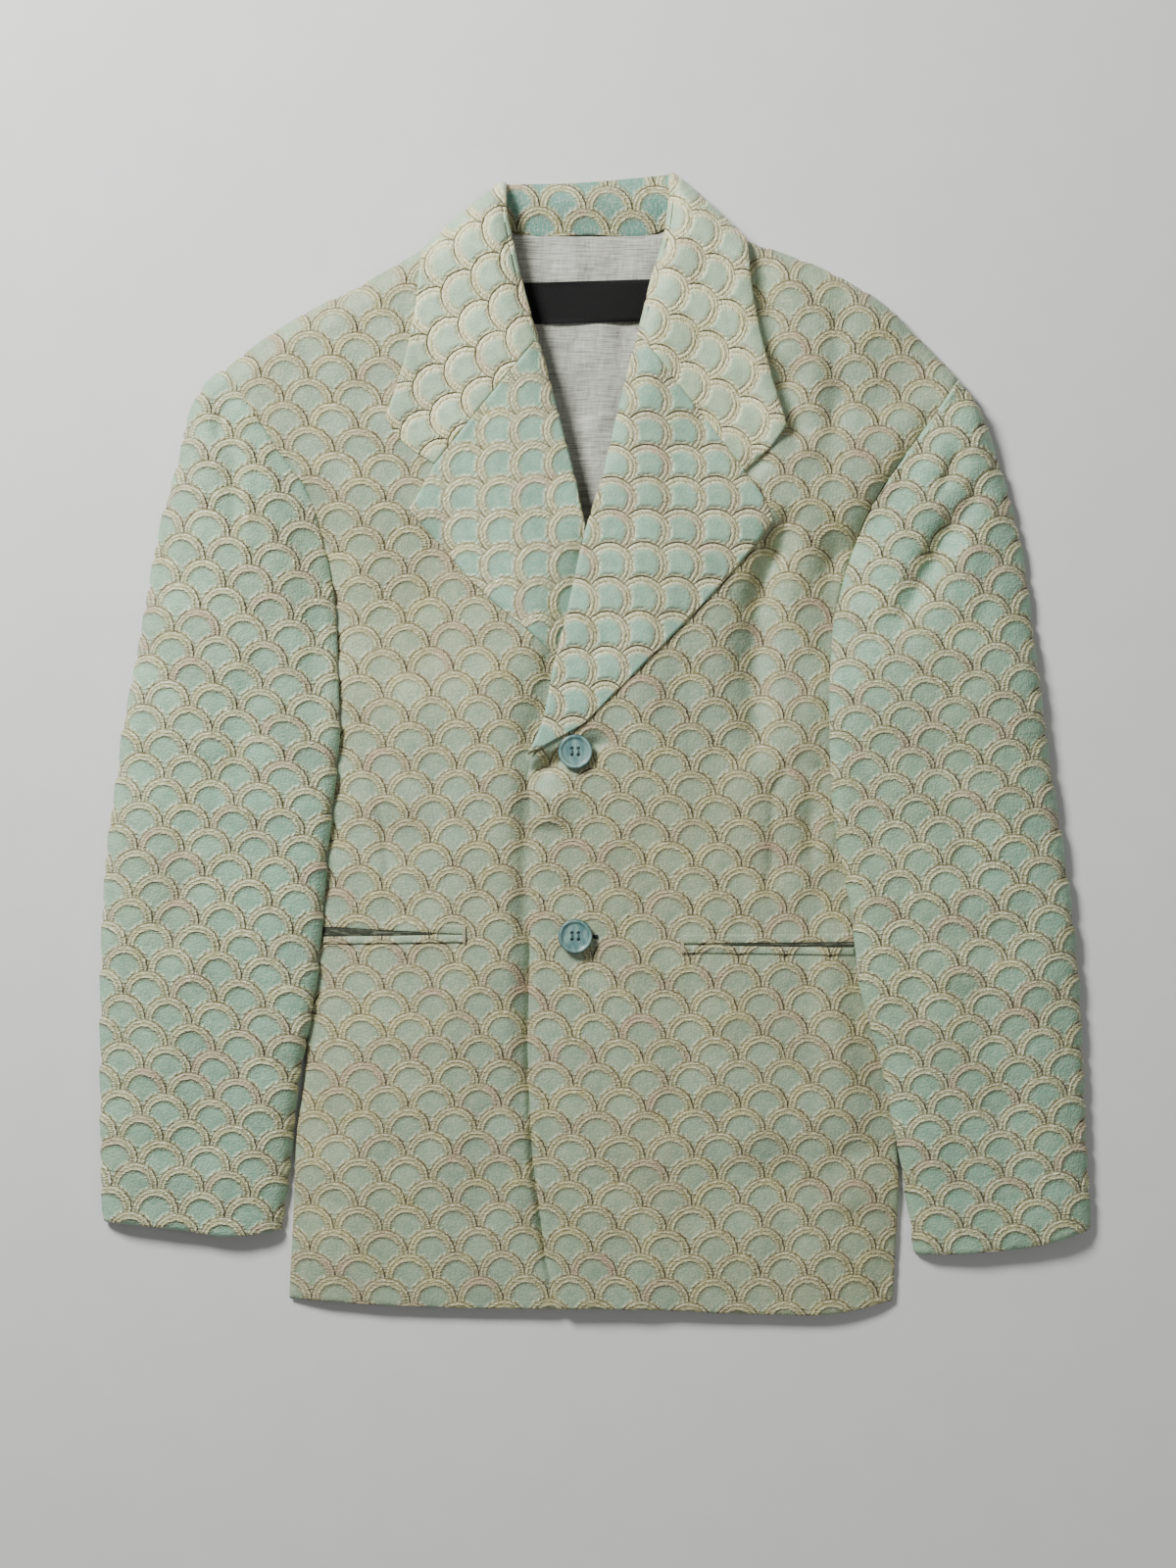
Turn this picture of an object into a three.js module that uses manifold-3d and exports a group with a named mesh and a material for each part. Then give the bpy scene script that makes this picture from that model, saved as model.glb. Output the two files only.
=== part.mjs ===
// A single-breasted blazer in scale-patterned brocade, laid flat on its back, closed by its top button.
// Millimetres. +Y points to the collar, +X to the wearer's left, +Z up from the surface it lies on.
// Left and right are the wearer's. The left front laps over the right one.
import * as THREE from 'three';
import { mergeVertices } from 'three/addons/utils/BufferGeometryUtils.js';
import Module from 'manifold-3d';

const wasm = await Module();
wasm.setup();

// Driving dimensions
const CLOTH = 1.6; // brocade with its interlining
const LINING = 1.0;
const SEAM = 0.3; // gap between pieces that are sewn or lie on each other
const DRAPE = 0.9; // air under a lapel or collar, at its closest
const SLEEVE_AIR = 0.5; // more air under a sleeve that lies on the front
const SHOULDER_ROUND = 24; // how far in the cloth rounds over at the shoulder
const BUTTON = { radius: 12, thick: 3.4, rim: 2.2, dish: 1.0, hole: 1.3, holePitch: 4.4 };
const JET = { upper: 6, lower: 5, thick: 1.0 };
const LABEL = { width: 104, height: 29, thick: 0.8, x: -5.5, y: 308.5, turn: 0.028 };

const COLOUR = {
  brocade: 0x9fb3a0,
  facing: 0x8fb0a6,
  lining: 0xb9b9ac,
  label: 0x15140f,
  button: 0x4f8f95,
  pocket: 0x4c5648,
};

// Grid steps: rows down the armhole, rows below it, and columns of each piece
const ROWS = { armhole: 7, below: 13, lapel: 14, leaf: 6, stand: 4, lining: 9, backLeaf: 3, jet: 1 };
const COLUMNS = { front: 12, shoulder: 4, neck: 4, gorge: 4, notch: 2, stand: 10, lining: 6, jet: 9 };
// Columns of the sleeves by their share across, closer where they round over or climb onto the body
const SLEEVE_COLUMNS = {
  top: [0, 0.06, 0.16, 0.3, 0.45, 0.6, 0.73, 0.85, 0.94, 1],
  under: [0, 0.3, 0.55, 0.68, 0.78, 0.87, 0.94, 1],
};
const FINE = 100; // even steps from which such columns are picked

// Heights of the fronts' outer face over the surface, by distance up the garment.
// crown: at the middle; edge: at the side; rise: how far in from the side the crown is reached.
const BODY_SECTIONS = [
  { y: -398, crown: 9.5, edge: 3.5, rise: 55 },
  { y: -300, crown: 12.5, edge: 3.5, rise: 60 },
  { y: -220, crown: 14, edge: 3.5, rise: 110 },
  { y: -120, crown: 15, edge: 3.5, rise: 150 },
  { y: 0, crown: 17, edge: 3.5, rise: 150 },
  { y: 97, crown: 18.5, edge: 3.6, rise: 140 },
  { y: 135, crown: 19.5, edge: 10, rise: 120 },
  { y: 170, crown: 20.5, edge: 17, rise: 110 },
  { y: 260, crown: 22.5, edge: 20, rise: 100 },
  { y: 400, crown: 23, edge: 22, rise: 90 },
];

// Heights of the sleeves' crest, by distance up the garment
const SLEEVE_SECTIONS = [
  { y: -360, crown: 12 },
  { y: -250, crown: 16.5 },
  { y: -120, crown: 19 },
  { y: 0, crown: 21.5 },
  { y: 120, crown: 24.5 },
  { y: 200, crown: 26 },
  { y: 262, crown: 19 },
];

// How far the left front is raised over the right front, and then over the right lapel
const LAP_SECTIONS = [
  { y: -398, lift: 2.4 },
  { y: -40, lift: 2.4 },
  { y: 5, lift: 5.6 },
  { y: 130, lift: 5.6 },
  { y: 200, lift: 2.5 },
  { y: 300, lift: 0.5 },
  { y: 400, lift: 0 },
];
const LAP_END = { from: 24, to: 80 };

// Extra height of the soft roll beside the fold of lapel and collar
const ROLL_SECTIONS = [
  { y: -20, bulge: 0 },
  { y: 140, bulge: 0.6 },
  { y: 230, bulge: 2.2 },
  { y: 290, bulge: 3.6 },
  { y: 350, bulge: 5.5 },
  { y: 400, bulge: 4 },
];
const ROLL_WIDTH = 14;

// The largest folds, as soft troughs from one end to the other
const BODY_FOLDS = [
  { x0: 119, y0: 134, x1: 98, y1: 30, depth: 3.4, width: 13 },
  { x0: 212, y0: 186, x1: 160, y1: 118, depth: 3.2, width: 12 },
  { x0: -205, y0: 176, x1: -150, y1: 60, depth: 2.4, width: 16 },
  { x0: -150, y0: -20, x1: -140, y1: -118, depth: 2.0, width: 11 },
  { x0: 126, y0: -18, x1: 122, y1: -120, depth: 2.2, width: 11 },
  { x0: 190, y0: -300, x1: 70, y1: -330, depth: 1.8, width: 16 },
  { x0: -60, y0: -180, x1: -75, y1: -330, depth: 1.6, width: 20 },
];
const SLEEVE_FOLDS = [
  { x0: 247, y0: 160, x1: 209, y1: 76, depth: 3.4, width: 11 },
  { x0: 254, y0: 206, x1: 238, y1: 172, depth: 2.6, width: 9 },
  { x0: -262, y0: 240, x1: -250, y1: 150, depth: 2.8, width: 9 },
  { x0: -230, y0: 70, x1: -262, y1: -40, depth: 2.2, width: 14 },
  { x0: 228, y0: 20, x1: 258, y1: -90, depth: 2.2, width: 14 },
  { x0: -262, y0: -150, x1: -282, y1: -290, depth: 1.8, width: 16 },
  { x0: 268, y0: -160, x1: 290, y1: -300, depth: 1.8, width: 16 },
];

// Outlines seen from above, a row for each point. Each runs from the collar down to the hem or cuff.
const OUTLINE = {
  right: {
    armhole: [
      { x: -258.7, y: 261 },
      { x: -244, y: 240.7 },
      { x: -221, y: 204 },
      { x: -201.6, y: 176.8 },
      { x: -190, y: 140 },
      { x: -182, y: 97 },
    ],
    sideSeam: [
      { x: -182, y: 97 },
      { x: -193, y: 64 },
      { x: -205, y: 36 },
      { x: -204, y: -10 },
      { x: -201, y: -60 },
      { x: -200, y: -120 },
      { x: -202, y: -180 },
      { x: -204, y: -232 },
      { x: -209.5, y: -270 },
      { x: -211.5, y: -316 },
      { x: -215, y: -387 },
    ],
    sleeveFold: [
      { x: -182, y: 97 },
      { x: -180.4, y: 55 },
      { x: -179.2, y: 13 },
      { x: -181.5, y: -18 },
      { x: -187.3, y: -70 },
      { x: -191.4, y: -122 },
      { x: -196, y: -168 },
      { x: -209, y: -240 },
      { x: -215.5, y: -300 },
      { x: -220.7, y: -340 },
    ],
    sleeveHead: [
      { x: -271.7, y: 252.3 },
      { x: -282.5, y: 233 },
      { x: -291.4, y: 195.2 },
      { x: -299.5, y: 170 },
      { x: -306.7, y: 137.7 },
      { x: -314.5, y: 92.8 },
    ],
    sleeveOuter: [
      { x: -314.5, y: 92.8 },
      { x: -322.4, y: 48 },
      { x: -329.2, y: 15 },
      { x: -334.2, y: -24 },
      { x: -340.5, y: -70 },
      { x: -344.1, y: -120 },
      { x: -345.8, y: -242 },
      { x: -344.4, y: -333.2 },
    ],
    cuff: [
      { x: -344.4, y: -333.2 },
      { x: -293.4, y: -338.4 },
      { x: -257.9, y: -343.4 },
      { x: -220.7, y: -340 },
    ],
    shoulder: [
      { x: -258.7, y: 261 },
      { x: -239.4, y: 276.8 },
      { x: -208, y: 297.6 },
      { x: -163.9, y: 319.6 },
      { x: -120.9, y: 344.4 },
      { x: -76, y: 368 },
    ],
    upperRoll: [
      { x: -76, y: 368 },
      { x: -61.5, y: 348 },
      { x: -54.4, y: 317 },
      { x: -43, y: 278 },
      { x: -28.2, y: 225 },
      { x: -16.5, y: 182 },
    ],
    lowerRoll: [
      { x: -16.5, y: 182 },
      { x: -6.7, y: 135.3 },
      { x: 2, y: 88 },
      { x: 11, y: 38 },
      { x: 17.8, y: -10 },
      { x: 19, y: -60 },
      { x: 19, y: -130 },
      { x: 19, y: -220 },
      { x: 18.5, y: -310 },
      { x: 17, y: -394.2 },
    ],
    hem: [
      { x: -215, y: -387 },
      { x: -158, y: -391 },
      { x: -87, y: -393.7 },
      { x: 17, y: -394.2 },
    ],
    lapelRoll: [
      { x: -43, y: 278 },
      { x: -28.2, y: 225 },
      { x: -16.5, y: 182 },
      { x: -6.7, y: 135.3 },
      { x: 2, y: 88 },
      { x: 11, y: 38 },
      { x: 16, y: 2 },
    ],
    lapelOuter: [
      { x: -130.2, y: 162.5 },
      { x: -102.7, y: 131.2 },
      { x: -87.4, y: 113.6 },
      { x: -29.6, y: 61.9 },
      { x: -6, y: 32 },
      { x: 9, y: 0 },
    ],
    gorge: [
      { x: -43, y: 278 },
      { x: -80, y: 234 },
      { x: -112.5, y: 193.8 },
    ],
    lapelTop: [
      { x: -112.5, y: 193.8 },
      { x: -124, y: 172.5 },
      { x: -130.2, y: 162.5 },
    ],
    leafBottom: [
      { x: -112.5, y: 193.8 },
      { x: -138, y: 213 },
      { x: -146.5, y: 226.8 },
    ],
    leafFold: [
      { x: -66.6, y: 391.7 },
      { x: -66.5, y: 380 },
      { x: -61.5, y: 348 },
      { x: -54.4, y: 317 },
      { x: -43, y: 278 },
    ],
    leafOuter: [
      { x: -121.4, y: 344.4 },
      { x: -126.1, y: 297.2 },
      { x: -137, y: 252.3 },
      { x: -146.5, y: 226.8 },
    ],
    leafTop: [
      { x: -121.4, y: 344.4 },
      { x: -94.2, y: 369.9 },
      { x: -66.6, y: 391.7 },
    ],
  },
  left: {
    armhole: [
      { x: 252, y: 254.5 },
      { x: 236, y: 230 },
      { x: 212, y: 197 },
      { x: 193, y: 168 },
      { x: 177.5, y: 130 },
      { x: 166, y: 88 },
    ],
    sideSeam: [
      { x: 166, y: 88 },
      { x: 178, y: 56 },
      { x: 190, y: 30 },
      { x: 192, y: -5 },
      { x: 191, y: -60 },
      { x: 193, y: -120 },
      { x: 199, y: -180 },
      { x: 206, y: -240 },
      { x: 211.6, y: -297 },
      { x: 209.6, y: -350 },
      { x: 207.5, y: -389 },
    ],
    sleeveFold: [
      { x: 166, y: 88 },
      { x: 162.9, y: 40 },
      { x: 163.6, y: -15 },
      { x: 166.9, y: -57 },
      { x: 177.8, y: -112 },
      { x: 184.6, y: -170 },
      { x: 198, y: -219 },
      { x: 207, y: -262 },
      { x: 216, y: -308 },
      { x: 223.2, y: -356.5 },
    ],
    sleeveHead: [
      { x: 264.2, y: 239.4 },
      { x: 275.1, y: 212.2 },
      { x: 285.9, y: 177.5 },
      { x: 293.4, y: 150.3 },
      { x: 299.5, y: 120 },
      { x: 304.3, y: 75.5 },
    ],
    sleeveOuter: [
      { x: 304.3, y: 75.5 },
      { x: 309.1, y: 40 },
      { x: 315.2, y: -7.5 },
      { x: 322.7, y: -55 },
      { x: 330.8, y: -109.5 },
      { x: 336.3, y: -164 },
      { x: 339.2, y: -225 },
      { x: 341.5, y: -275 },
      { x: 345.1, y: -339.3 },
    ],
    cuff: [
      { x: 345.1, y: -339.3 },
      { x: 314.5, y: -348.6 },
      { x: 262.7, y: -355.2 },
      { x: 223.2, y: -356.5 },
    ],
    shoulder: [
      { x: 252, y: 254.5 },
      { x: 244.2, y: 263.2 },
      { x: 220.5, y: 287 },
      { x: 202.3, y: 305.3 },
      { x: 176.8, y: 321.6 },
      { x: 125.9, y: 343.4 },
      { x: 104, y: 350.5 },
      { x: 64, y: 366 },
    ],
    upperRoll: [
      { x: 64, y: 366 },
      { x: 50.5, y: 352 },
      { x: 41.8, y: 322.3 },
      { x: 31.6, y: 281.5 },
      { x: 20, y: 238.7 },
      { x: 5.5, y: 183 },
    ],
    lowerRoll: [
      { x: 5.5, y: 183 },
      { x: -7.8, y: 137.6 },
      { x: -15.3, y: 102.7 },
      { x: -27.1, y: 53.7 },
      { x: -38.6, y: 6.1 },
      { x: -46.2, y: -16 },
      { x: -46.5, y: -45 },
      { x: -43.2, y: -116 },
      { x: -43.6, y: -165 },
      { x: -45.6, y: -215 },
      { x: -42.5, y: -287 },
      { x: -33.7, y: -352.6 },
      { x: -24.8, y: -394 },
    ],
    hem: [
      { x: 207.5, y: -389 },
      { x: 170, y: -397.4 },
      { x: 108.7, y: -397.8 },
      { x: 30, y: -394.6 },
      { x: -24.8, y: -394 },
    ],
    lapelRoll: [
      { x: 31.6, y: 281.5 },
      { x: 20, y: 238.7 },
      { x: 5.5, y: 183 },
      { x: -7.8, y: 137.6 },
      { x: -15.3, y: 102.7 },
      { x: -27.1, y: 53.7 },
      { x: -38.6, y: 6.1 },
      { x: -46, y: -7 },
    ],
    lapelOuter: [
      { x: 123.5, y: 154.5 },
      { x: 103.7, y: 129.9 },
      { x: 68.3, y: 91.1 },
      { x: 39.1, y: 61.5 },
      { x: 17.7, y: 40.1 },
      { x: -9, y: 13.5 },
    ],
    gorge: [
      { x: 31.6, y: 281.5 },
      { x: 67, y: 236 },
      { x: 103, y: 189.7 },
    ],
    lapelTop: [
      { x: 103, y: 189.7 },
      { x: 117.5, y: 168.5 },
      { x: 123.5, y: 154.5 },
    ],
    leafBottom: [
      { x: 103, y: 189.7 },
      { x: 121, y: 206 },
      { x: 132.3, y: 221 },
    ],
    leafFold: [
      { x: 54.5, y: 398 },
      { x: 54, y: 380 },
      { x: 50.5, y: 352 },
      { x: 41.8, y: 322.3 },
      { x: 31.6, y: 281.5 },
    ],
    leafOuter: [
      { x: 104.2, y: 353.2 },
      { x: 108.1, y: 316.5 },
      { x: 117.8, y: 270 },
      { x: 132.3, y: 221 },
    ],
    leafTop: [
      { x: 104.2, y: 353.2 },
      { x: 80, y: 376 },
      { x: 54.5, y: 398 },
    ],
  },
};
const BACK_NECK = [
  { x: -76, y: 368 },
  { x: -58, y: 357.5 },
  { x: -7, y: 355.5 },
  { x: 46, y: 358.5 },
  { x: 64, y: 366 },
];
const COLLAR_FOLD = [
  { x: -63.5, y: 391.7 },
  { x: -18, y: 392.6 },
  { x: 34, y: 396.8 },
  { x: 51.5, y: 398.6 },
];
const STAND_SEAM = [
  { x: -73, y: 366.5 },
  { x: -58, y: 358 },
  { x: -7, y: 356 },
  { x: 46, y: 359 },
  { x: 61, y: 369.5 },
];
const LINING_OUTLINE = {
  top: [{ x: -72, y: 357 }, { x: -7, y: 354.8 }, { x: 60, y: 357 }],
  bottom: [{ x: -22, y: 112 }, { x: 6, y: 112 }],
  left: [{ x: -72, y: 357 }, { x: -48, y: 250 }, { x: -22, y: 112 }],
  right: [{ x: 60, y: 357 }, { x: 36, y: 250 }, { x: 6, y: 112 }],
};
const BACK_LEAF_BOTTOM = [
  { x: -121.4, y: 344.4 },
  { x: -70, y: 340.5 },
  { x: 0, y: 339.5 },
  { x: 60, y: 342 },
  { x: 104.2, y: 353.2 },
];

// Jetted pockets: the slit from its outer to its inner end, and how far its lips gape at each end
const POCKETS = {
  right: { outer: -191, inner: -96, yOuter: -131, yInner: -132.5, gapeOuter: 7, gapeInner: 0.5 },
  left: { outer: 180, inner: 64, yOuter: -140, yInner: -139.5, gapeOuter: 4, gapeInner: 1.5 },
};
const POCKET_END = 4;

// Where the sleeve lies on the front: the rows of the body that it covers, fading at both ends
const ON_BODY = {
  right: { low: -275, lowFull: -238, highFull: 99, high: 140 },
  left: { low: -325, lowFull: -285, highFull: 90, high: 132 },
};
const STEP_UP = { from: 27, to: 10 }; // where the sleeve climbs onto the body, outside the body's edge

const BUTTONS = [
  { name: 'button_top', x: -14.6, y: -5.4 },
  { name: 'button_lower', x: -14.6, y: -133.6 },
];

// The back of the collar lies under the back, which is raised by it
const COLLAR_BED = { from: 190, to: 285, centre: -8, halfWidth: 165, fade: 30 };

function smoothstep(from, to, value) {
  const q = Math.min(1, Math.max(0, (value - from) / (to - from)));
  return q * q * (3 - 2 * q);
}

// A column of a table at a given y, eased between its rows
function column(table, name, y) {
  if (y <= table[0].y) return table[0][name];
  for (let i = 1; i < table.length; i += 1) {
    const [low, high] = [table[i - 1], table[i]];
    if (y <= high.y) return low[name] + (high[name] - low[name]) * smoothstep(low.y, high.y, y);
  }
  return table[table.length - 1][name];
}

// Where a line of points crosses a given x or y, between its two nearest points
function crossing(points, known, wanted, value) {
  const sorted = [...points].sort((a, b) => a[known] - b[known]);
  if (value <= sorted[0][known]) return sorted[0][wanted];
  for (let i = 1; i < sorted.length; i += 1) {
    const [a, b] = [sorted[i - 1], sorted[i]];
    if (value <= b[known]) {
      return a[wanted] + ((b[wanted] - a[wanted]) * (value - a[known])) / (b[known] - a[known]);
    }
  }
  return sorted[sorted.length - 1][wanted];
}

// Depth of all folds of a table at a plan point
function foldDepth(folds, x, y) {
  let depth = 0;
  for (const fold of folds) {
    const run = new THREE.Vector2(fold.x1 - fold.x0, fold.y1 - fold.y0);
    const here = new THREE.Vector2(x - fold.x0, y - fold.y0);
    const along = here.dot(run) / run.lengthSq();
    const aside = here.cross(run) / run.length();
    const fade = smoothstep(-0.25, 0.25, along) * (1 - smoothstep(0.75, 1.25, along));
    depth += fold.depth * fade * Math.exp(-((aside / fold.width) ** 2));
  }
  return depth;
}

// A quarter round: 0 at the edge, 1 from the given distance in
function quarterRound(distance, reach) {
  const q = Math.min(1, Math.max(0, distance / reach));
  return Math.sqrt(1 - (1 - q) ** 2);
}

// Distance in from the side edge of the body, negative outside
const bodyEdge = {
  right: [...OUTLINE.right.armhole, ...OUTLINE.right.sideSeam.slice(1)],
  left: [...OUTLINE.left.armhole, ...OUTLINE.left.sideSeam.slice(1)],
};
function insideBody(side, x, y) {
  const edge = crossing(bodyEdge[side], 'y', 'x', y);
  return side === 'left' ? edge - x : x - edge;
}

function collarBed(x, y) {
  const aside = Math.abs(x - COLLAR_BED.centre);
  const across = 1 - smoothstep(COLLAR_BED.halfWidth, COLLAR_BED.halfWidth + COLLAR_BED.fade, aside);
  return (CLOTH + SEAM) * smoothstep(COLLAR_BED.from, COLLAR_BED.to, y) * across;
}

// Top line of the fronts and of the collar, where the cloth rounds over
const shoulderLine = [...OUTLINE.right.shoulder, ...OUTLINE.left.shoulder];
const collarLine = [...OUTLINE.right.shoulder.slice(0, 4), ...OUTLINE.right.leafTop];
collarLine.push(...OUTLINE.left.leafTop, ...OUTLINE.left.shoulder.slice(0, 5));

// Height of a front's outer face, rounded over at the given top line
function frontHeight(side, x, y, topLine = shoulderLine) {
  const crown = column(BODY_SECTIONS, 'crown', y);
  const edge = column(BODY_SECTIONS, 'edge', y);
  const rise = column(BODY_SECTIONS, 'rise', y);
  const q = Math.min(1, Math.max(0, insideBody(side, x, y) / rise));
  const low = CLOTH + SEAM + CLOTH;
  let height = edge + (crown - edge) * (1 - (1 - q) ** 2) - low;
  height -= foldDepth(BODY_FOLDS, x, y) * Math.min(1, height / 8);
  height *= quarterRound(crossing(topLine, 'x', 'y', x) - y, SHOULDER_ROUND);
  if (side === 'left') {
    height += column(LAP_SECTIONS, 'lift', y) * (1 - smoothstep(LAP_END.from, LAP_END.to, x));
  }
  return low + height + collarBed(x, y);
}

// Height of a lapel's or collar leaf's outer face, which rolls up beside its fold
function lapelHeight(side, x, y) {
  const fold = [...OUTLINE[side].leafFold, ...OUTLINE[side].lapelRoll.slice(1)];
  const beside = Math.abs(x - crossing(fold, 'y', 'x', y)) / ROLL_WIDTH;
  const roll = column(ROLL_SECTIONS, 'bulge', y) * beside * Math.exp(1 - beside);
  const under = frontHeight(side, x, y, collarLine);
  const round = quarterRound(crossing(collarLine, 'x', 'y', x) - y, SHOULDER_ROUND);
  return under + DRAPE + CLOTH + roll * round;
}

// How much of its full climb the sleeve makes onto the body at a plan point
function onBody(side, x, y) {
  const rows = ON_BODY[side];
  const along = smoothstep(rows.low, rows.lowFull, y) * (1 - smoothstep(rows.highFull, rows.high, y));
  return along * smoothstep(-STEP_UP.from, -STEP_UP.to, insideBody(side, x, y));
}

function underSleeveHeight(side, x, y) {
  return CLOTH + (frontHeight(side, x, y) + SEAM + SLEEVE_AIR) * onBody(side, x, y);
}

// Height of the top sleeve between its outer edge (across 0) and its inner one (across 1)
function topSleeveHeight(side, x, y, across, inner) {
  const rows = ON_BODY[side];
  const onto = 1 - smoothstep(rows.highFull, rows.high, inner.y);
  const seam = frontHeight(side, inner.x, inner.y);
  const folded = underSleeveHeight(side, inner.x, inner.y) + SEAM + CLOTH;
  const innerHeight = seam * (1 - onto) + Math.max(folded, 2 * CLOTH + SEAM) * onto;
  const outerHeight = 2 * CLOTH + SEAM;
  const base = outerHeight + (innerHeight - outerHeight) * smoothstep(0, 1, across);
  const arch = 1 - Math.abs(2 * across - 1) ** 2.6;
  const crown = column(SLEEVE_SECTIONS, 'crown', y) - foldDepth(SLEEVE_FOLDS, x, y);
  return base + Math.max(0, crown - base) * arch;
}

// Points spaced evenly along a smooth line through a table's rows
function along(points, steps) {
  const knots = points.map((p) => new THREE.Vector3(p.x, p.y, 0));
  return new THREE.CatmullRomCurve3(knots).getSpacedPoints(steps);
}

// The points of an evenly spaced line that lie nearest to the given shares of it
function spaced(points, at) {
  return at.map((share) => points[Math.round(share * (points.length - 1))]);
}

// Several lines joined end to end, with a corner kept at each joint
function legs(...parts) {
  const points = [];
  for (const [line, steps] of parts) {
    const leg = along(line, steps);
    points.push(...(points.length > 0 ? leg.slice(1) : leg));
  }
  return points;
}

// Mean share of their length at which the points of two facing edges lie
function shares(one, other) {
  const run = (points) => {
    const lengths = [0];
    for (let i = 1; i < points.length; i += 1) {
      lengths.push(lengths[i - 1] + points[i].distanceTo(points[i - 1]));
    }
    return lengths.map((length) => length / lengths[lengths.length - 1]);
  };
  const second = run(other);
  return run(one).map((share, i) => (share + second[i]) / 2);
}

// Plan grid of a piece between four edges: top and bottom run across, left and right run down
function patch({ top, bottom, left, right }) {
  const [columns, rows] = [top.length - 1, left.length - 1];
  const [acrossShares, downShares] = [shares(top, bottom), shares(left, right)];
  const grid = [];
  for (let j = 0; j <= rows; j += 1) {
    const v = downShares[j];
    const row = [];
    for (let i = 0; i <= columns; i += 1) {
      const u = acrossShares[i];
      const point = new THREE.Vector3();
      point.addScaledVector(top[i], 1 - v).addScaledVector(bottom[i], v);
      point.addScaledVector(left[j], 1 - u).addScaledVector(right[j], u);
      point.addScaledVector(top[0], -(1 - u) * (1 - v)).addScaledVector(top[columns], -u * (1 - v));
      point.addScaledVector(bottom[0], -(1 - u) * v).addScaledVector(bottom[columns], -u * v);
      row.push(point);
    }
    grid.push(row);
  }
  return grid;
}

// The outline of a grid drawn in by half a seam's gap, on all four edges
function drawnIn(grid) {
  const [rows, columns] = [grid.length - 1, grid[0].length - 1];
  const step = SEAM * 0.7;
  return grid.map((row, j) =>
    row.map((point, i) => {
      const moved = point.clone();
      const insideRow = grid[Math.min(rows - 1, Math.max(1, j))];
      if (j === 0 || j === rows) moved.add(insideRow[i].clone().sub(point).setLength(step));
      const insideColumn = Math.min(columns - 1, Math.max(1, i));
      if (i === 0 || i === columns) moved.add(row[insideColumn].clone().sub(point).setLength(step));
      return moved;
    }),
  );
}

function raised(grid, height) {
  return grid.map((row, j) => {
    const across = shares(row, row);
    return row.map((point, i) => {
      return new THREE.Vector3(point.x, point.y, height(point.x, point.y, across[i], row, j));
    });
  });
}

// Upward normal of a grid at one of its points
function normalAt(grid, j, i) {
  const [rows, columns] = [grid.length - 1, grid[0].length - 1];
  const down = grid[Math.min(rows, j + 1)][i].clone().sub(grid[Math.max(0, j - 1)][i]);
  const across = grid[j][Math.min(columns, i + 1)].clone().sub(grid[j][Math.max(0, i - 1)]);
  const normal = across.cross(down).normalize();
  return normal.z < 0 ? normal.negate() : normal;
}

// A closed wall of cloth: the grid is its outer face, and the inner face lies a thickness behind it
function wall(grid, thickness) {
  const [rows, columns] = [grid.length - 1, grid[0].length - 1];
  const positions = [];
  const outer = (j, i) => j * (columns + 1) + i;
  const inner = (j, i) => (rows + 1) * (columns + 1) + outer(j, i);
  for (const row of grid) for (const point of row) positions.push(point.x, point.y, point.z);
  grid.forEach((row, j) =>
    row.forEach((point, i) => {
      const behind = point.clone().addScaledVector(normalAt(grid, j, i), -thickness);
      positions.push(behind.x, behind.y, behind.z);
    }),
  );
  const index = [];
  const quad = (a, b, c, d) => index.push(a, b, c, a, c, d);
  for (let j = 0; j < rows; j += 1) {
    for (let i = 0; i < columns; i += 1) {
      quad(outer(j, i), outer(j + 1, i), outer(j + 1, i + 1), outer(j, i + 1));
      quad(inner(j, i), inner(j, i + 1), inner(j + 1, i + 1), inner(j + 1, i));
    }
    quad(outer(j + 1, 0), outer(j, 0), inner(j, 0), inner(j + 1, 0));
    quad(outer(j, columns), outer(j + 1, columns), inner(j + 1, columns), inner(j, columns));
  }
  for (let i = 0; i < columns; i += 1) {
    quad(outer(0, i), outer(0, i + 1), inner(0, i + 1), inner(0, i));
    quad(outer(rows, i + 1), outer(rows, i), inner(rows, i), inner(rows, i + 1));
  }
  const [a, b, c] = [grid[0][0], grid[1][0], grid[0][1]];
  const facesUp = b.clone().sub(a).cross(c.clone().sub(a)).z > 0;
  if (!facesUp) index.reverse();
  const geometry = new THREE.BufferGeometry();
  geometry.setAttribute('position', new THREE.Float32BufferAttribute(positions, 3));
  geometry.setIndex(index);
  geometry.computeVertexNormals();
  return geometry;
}

const blazer = new THREE.Group();

function addPiece(name, geometry, colour, roughness) {
  const material = new THREE.MeshStandardMaterial({ color: colour, roughness, metalness: 0 });
  const mesh = new THREE.Mesh(geometry, material);
  mesh.name = name;
  blazer.add(mesh);
  return mesh;
}

// Front: from the armhole and side seam to the fold of the lapel and the front edge
function addFront(side) {
  const line = OUTLINE[side];
  const grid = patch({
    top: along(line.shoulder, COLUMNS.front),
    bottom: along(line.hem, COLUMNS.front),
    left: legs([line.armhole, ROWS.armhole], [line.sideSeam, ROWS.below]),
    right: legs([line.upperRoll, ROWS.armhole], [line.lowerRoll, ROWS.below]),
  });
  const outer = raised(drawnIn(grid), (x, y) => frontHeight(side, x, y));
  addPiece(`front_${side}`, wall(outer, CLOTH), COLOUR.brocade, 0.6);
}

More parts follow.
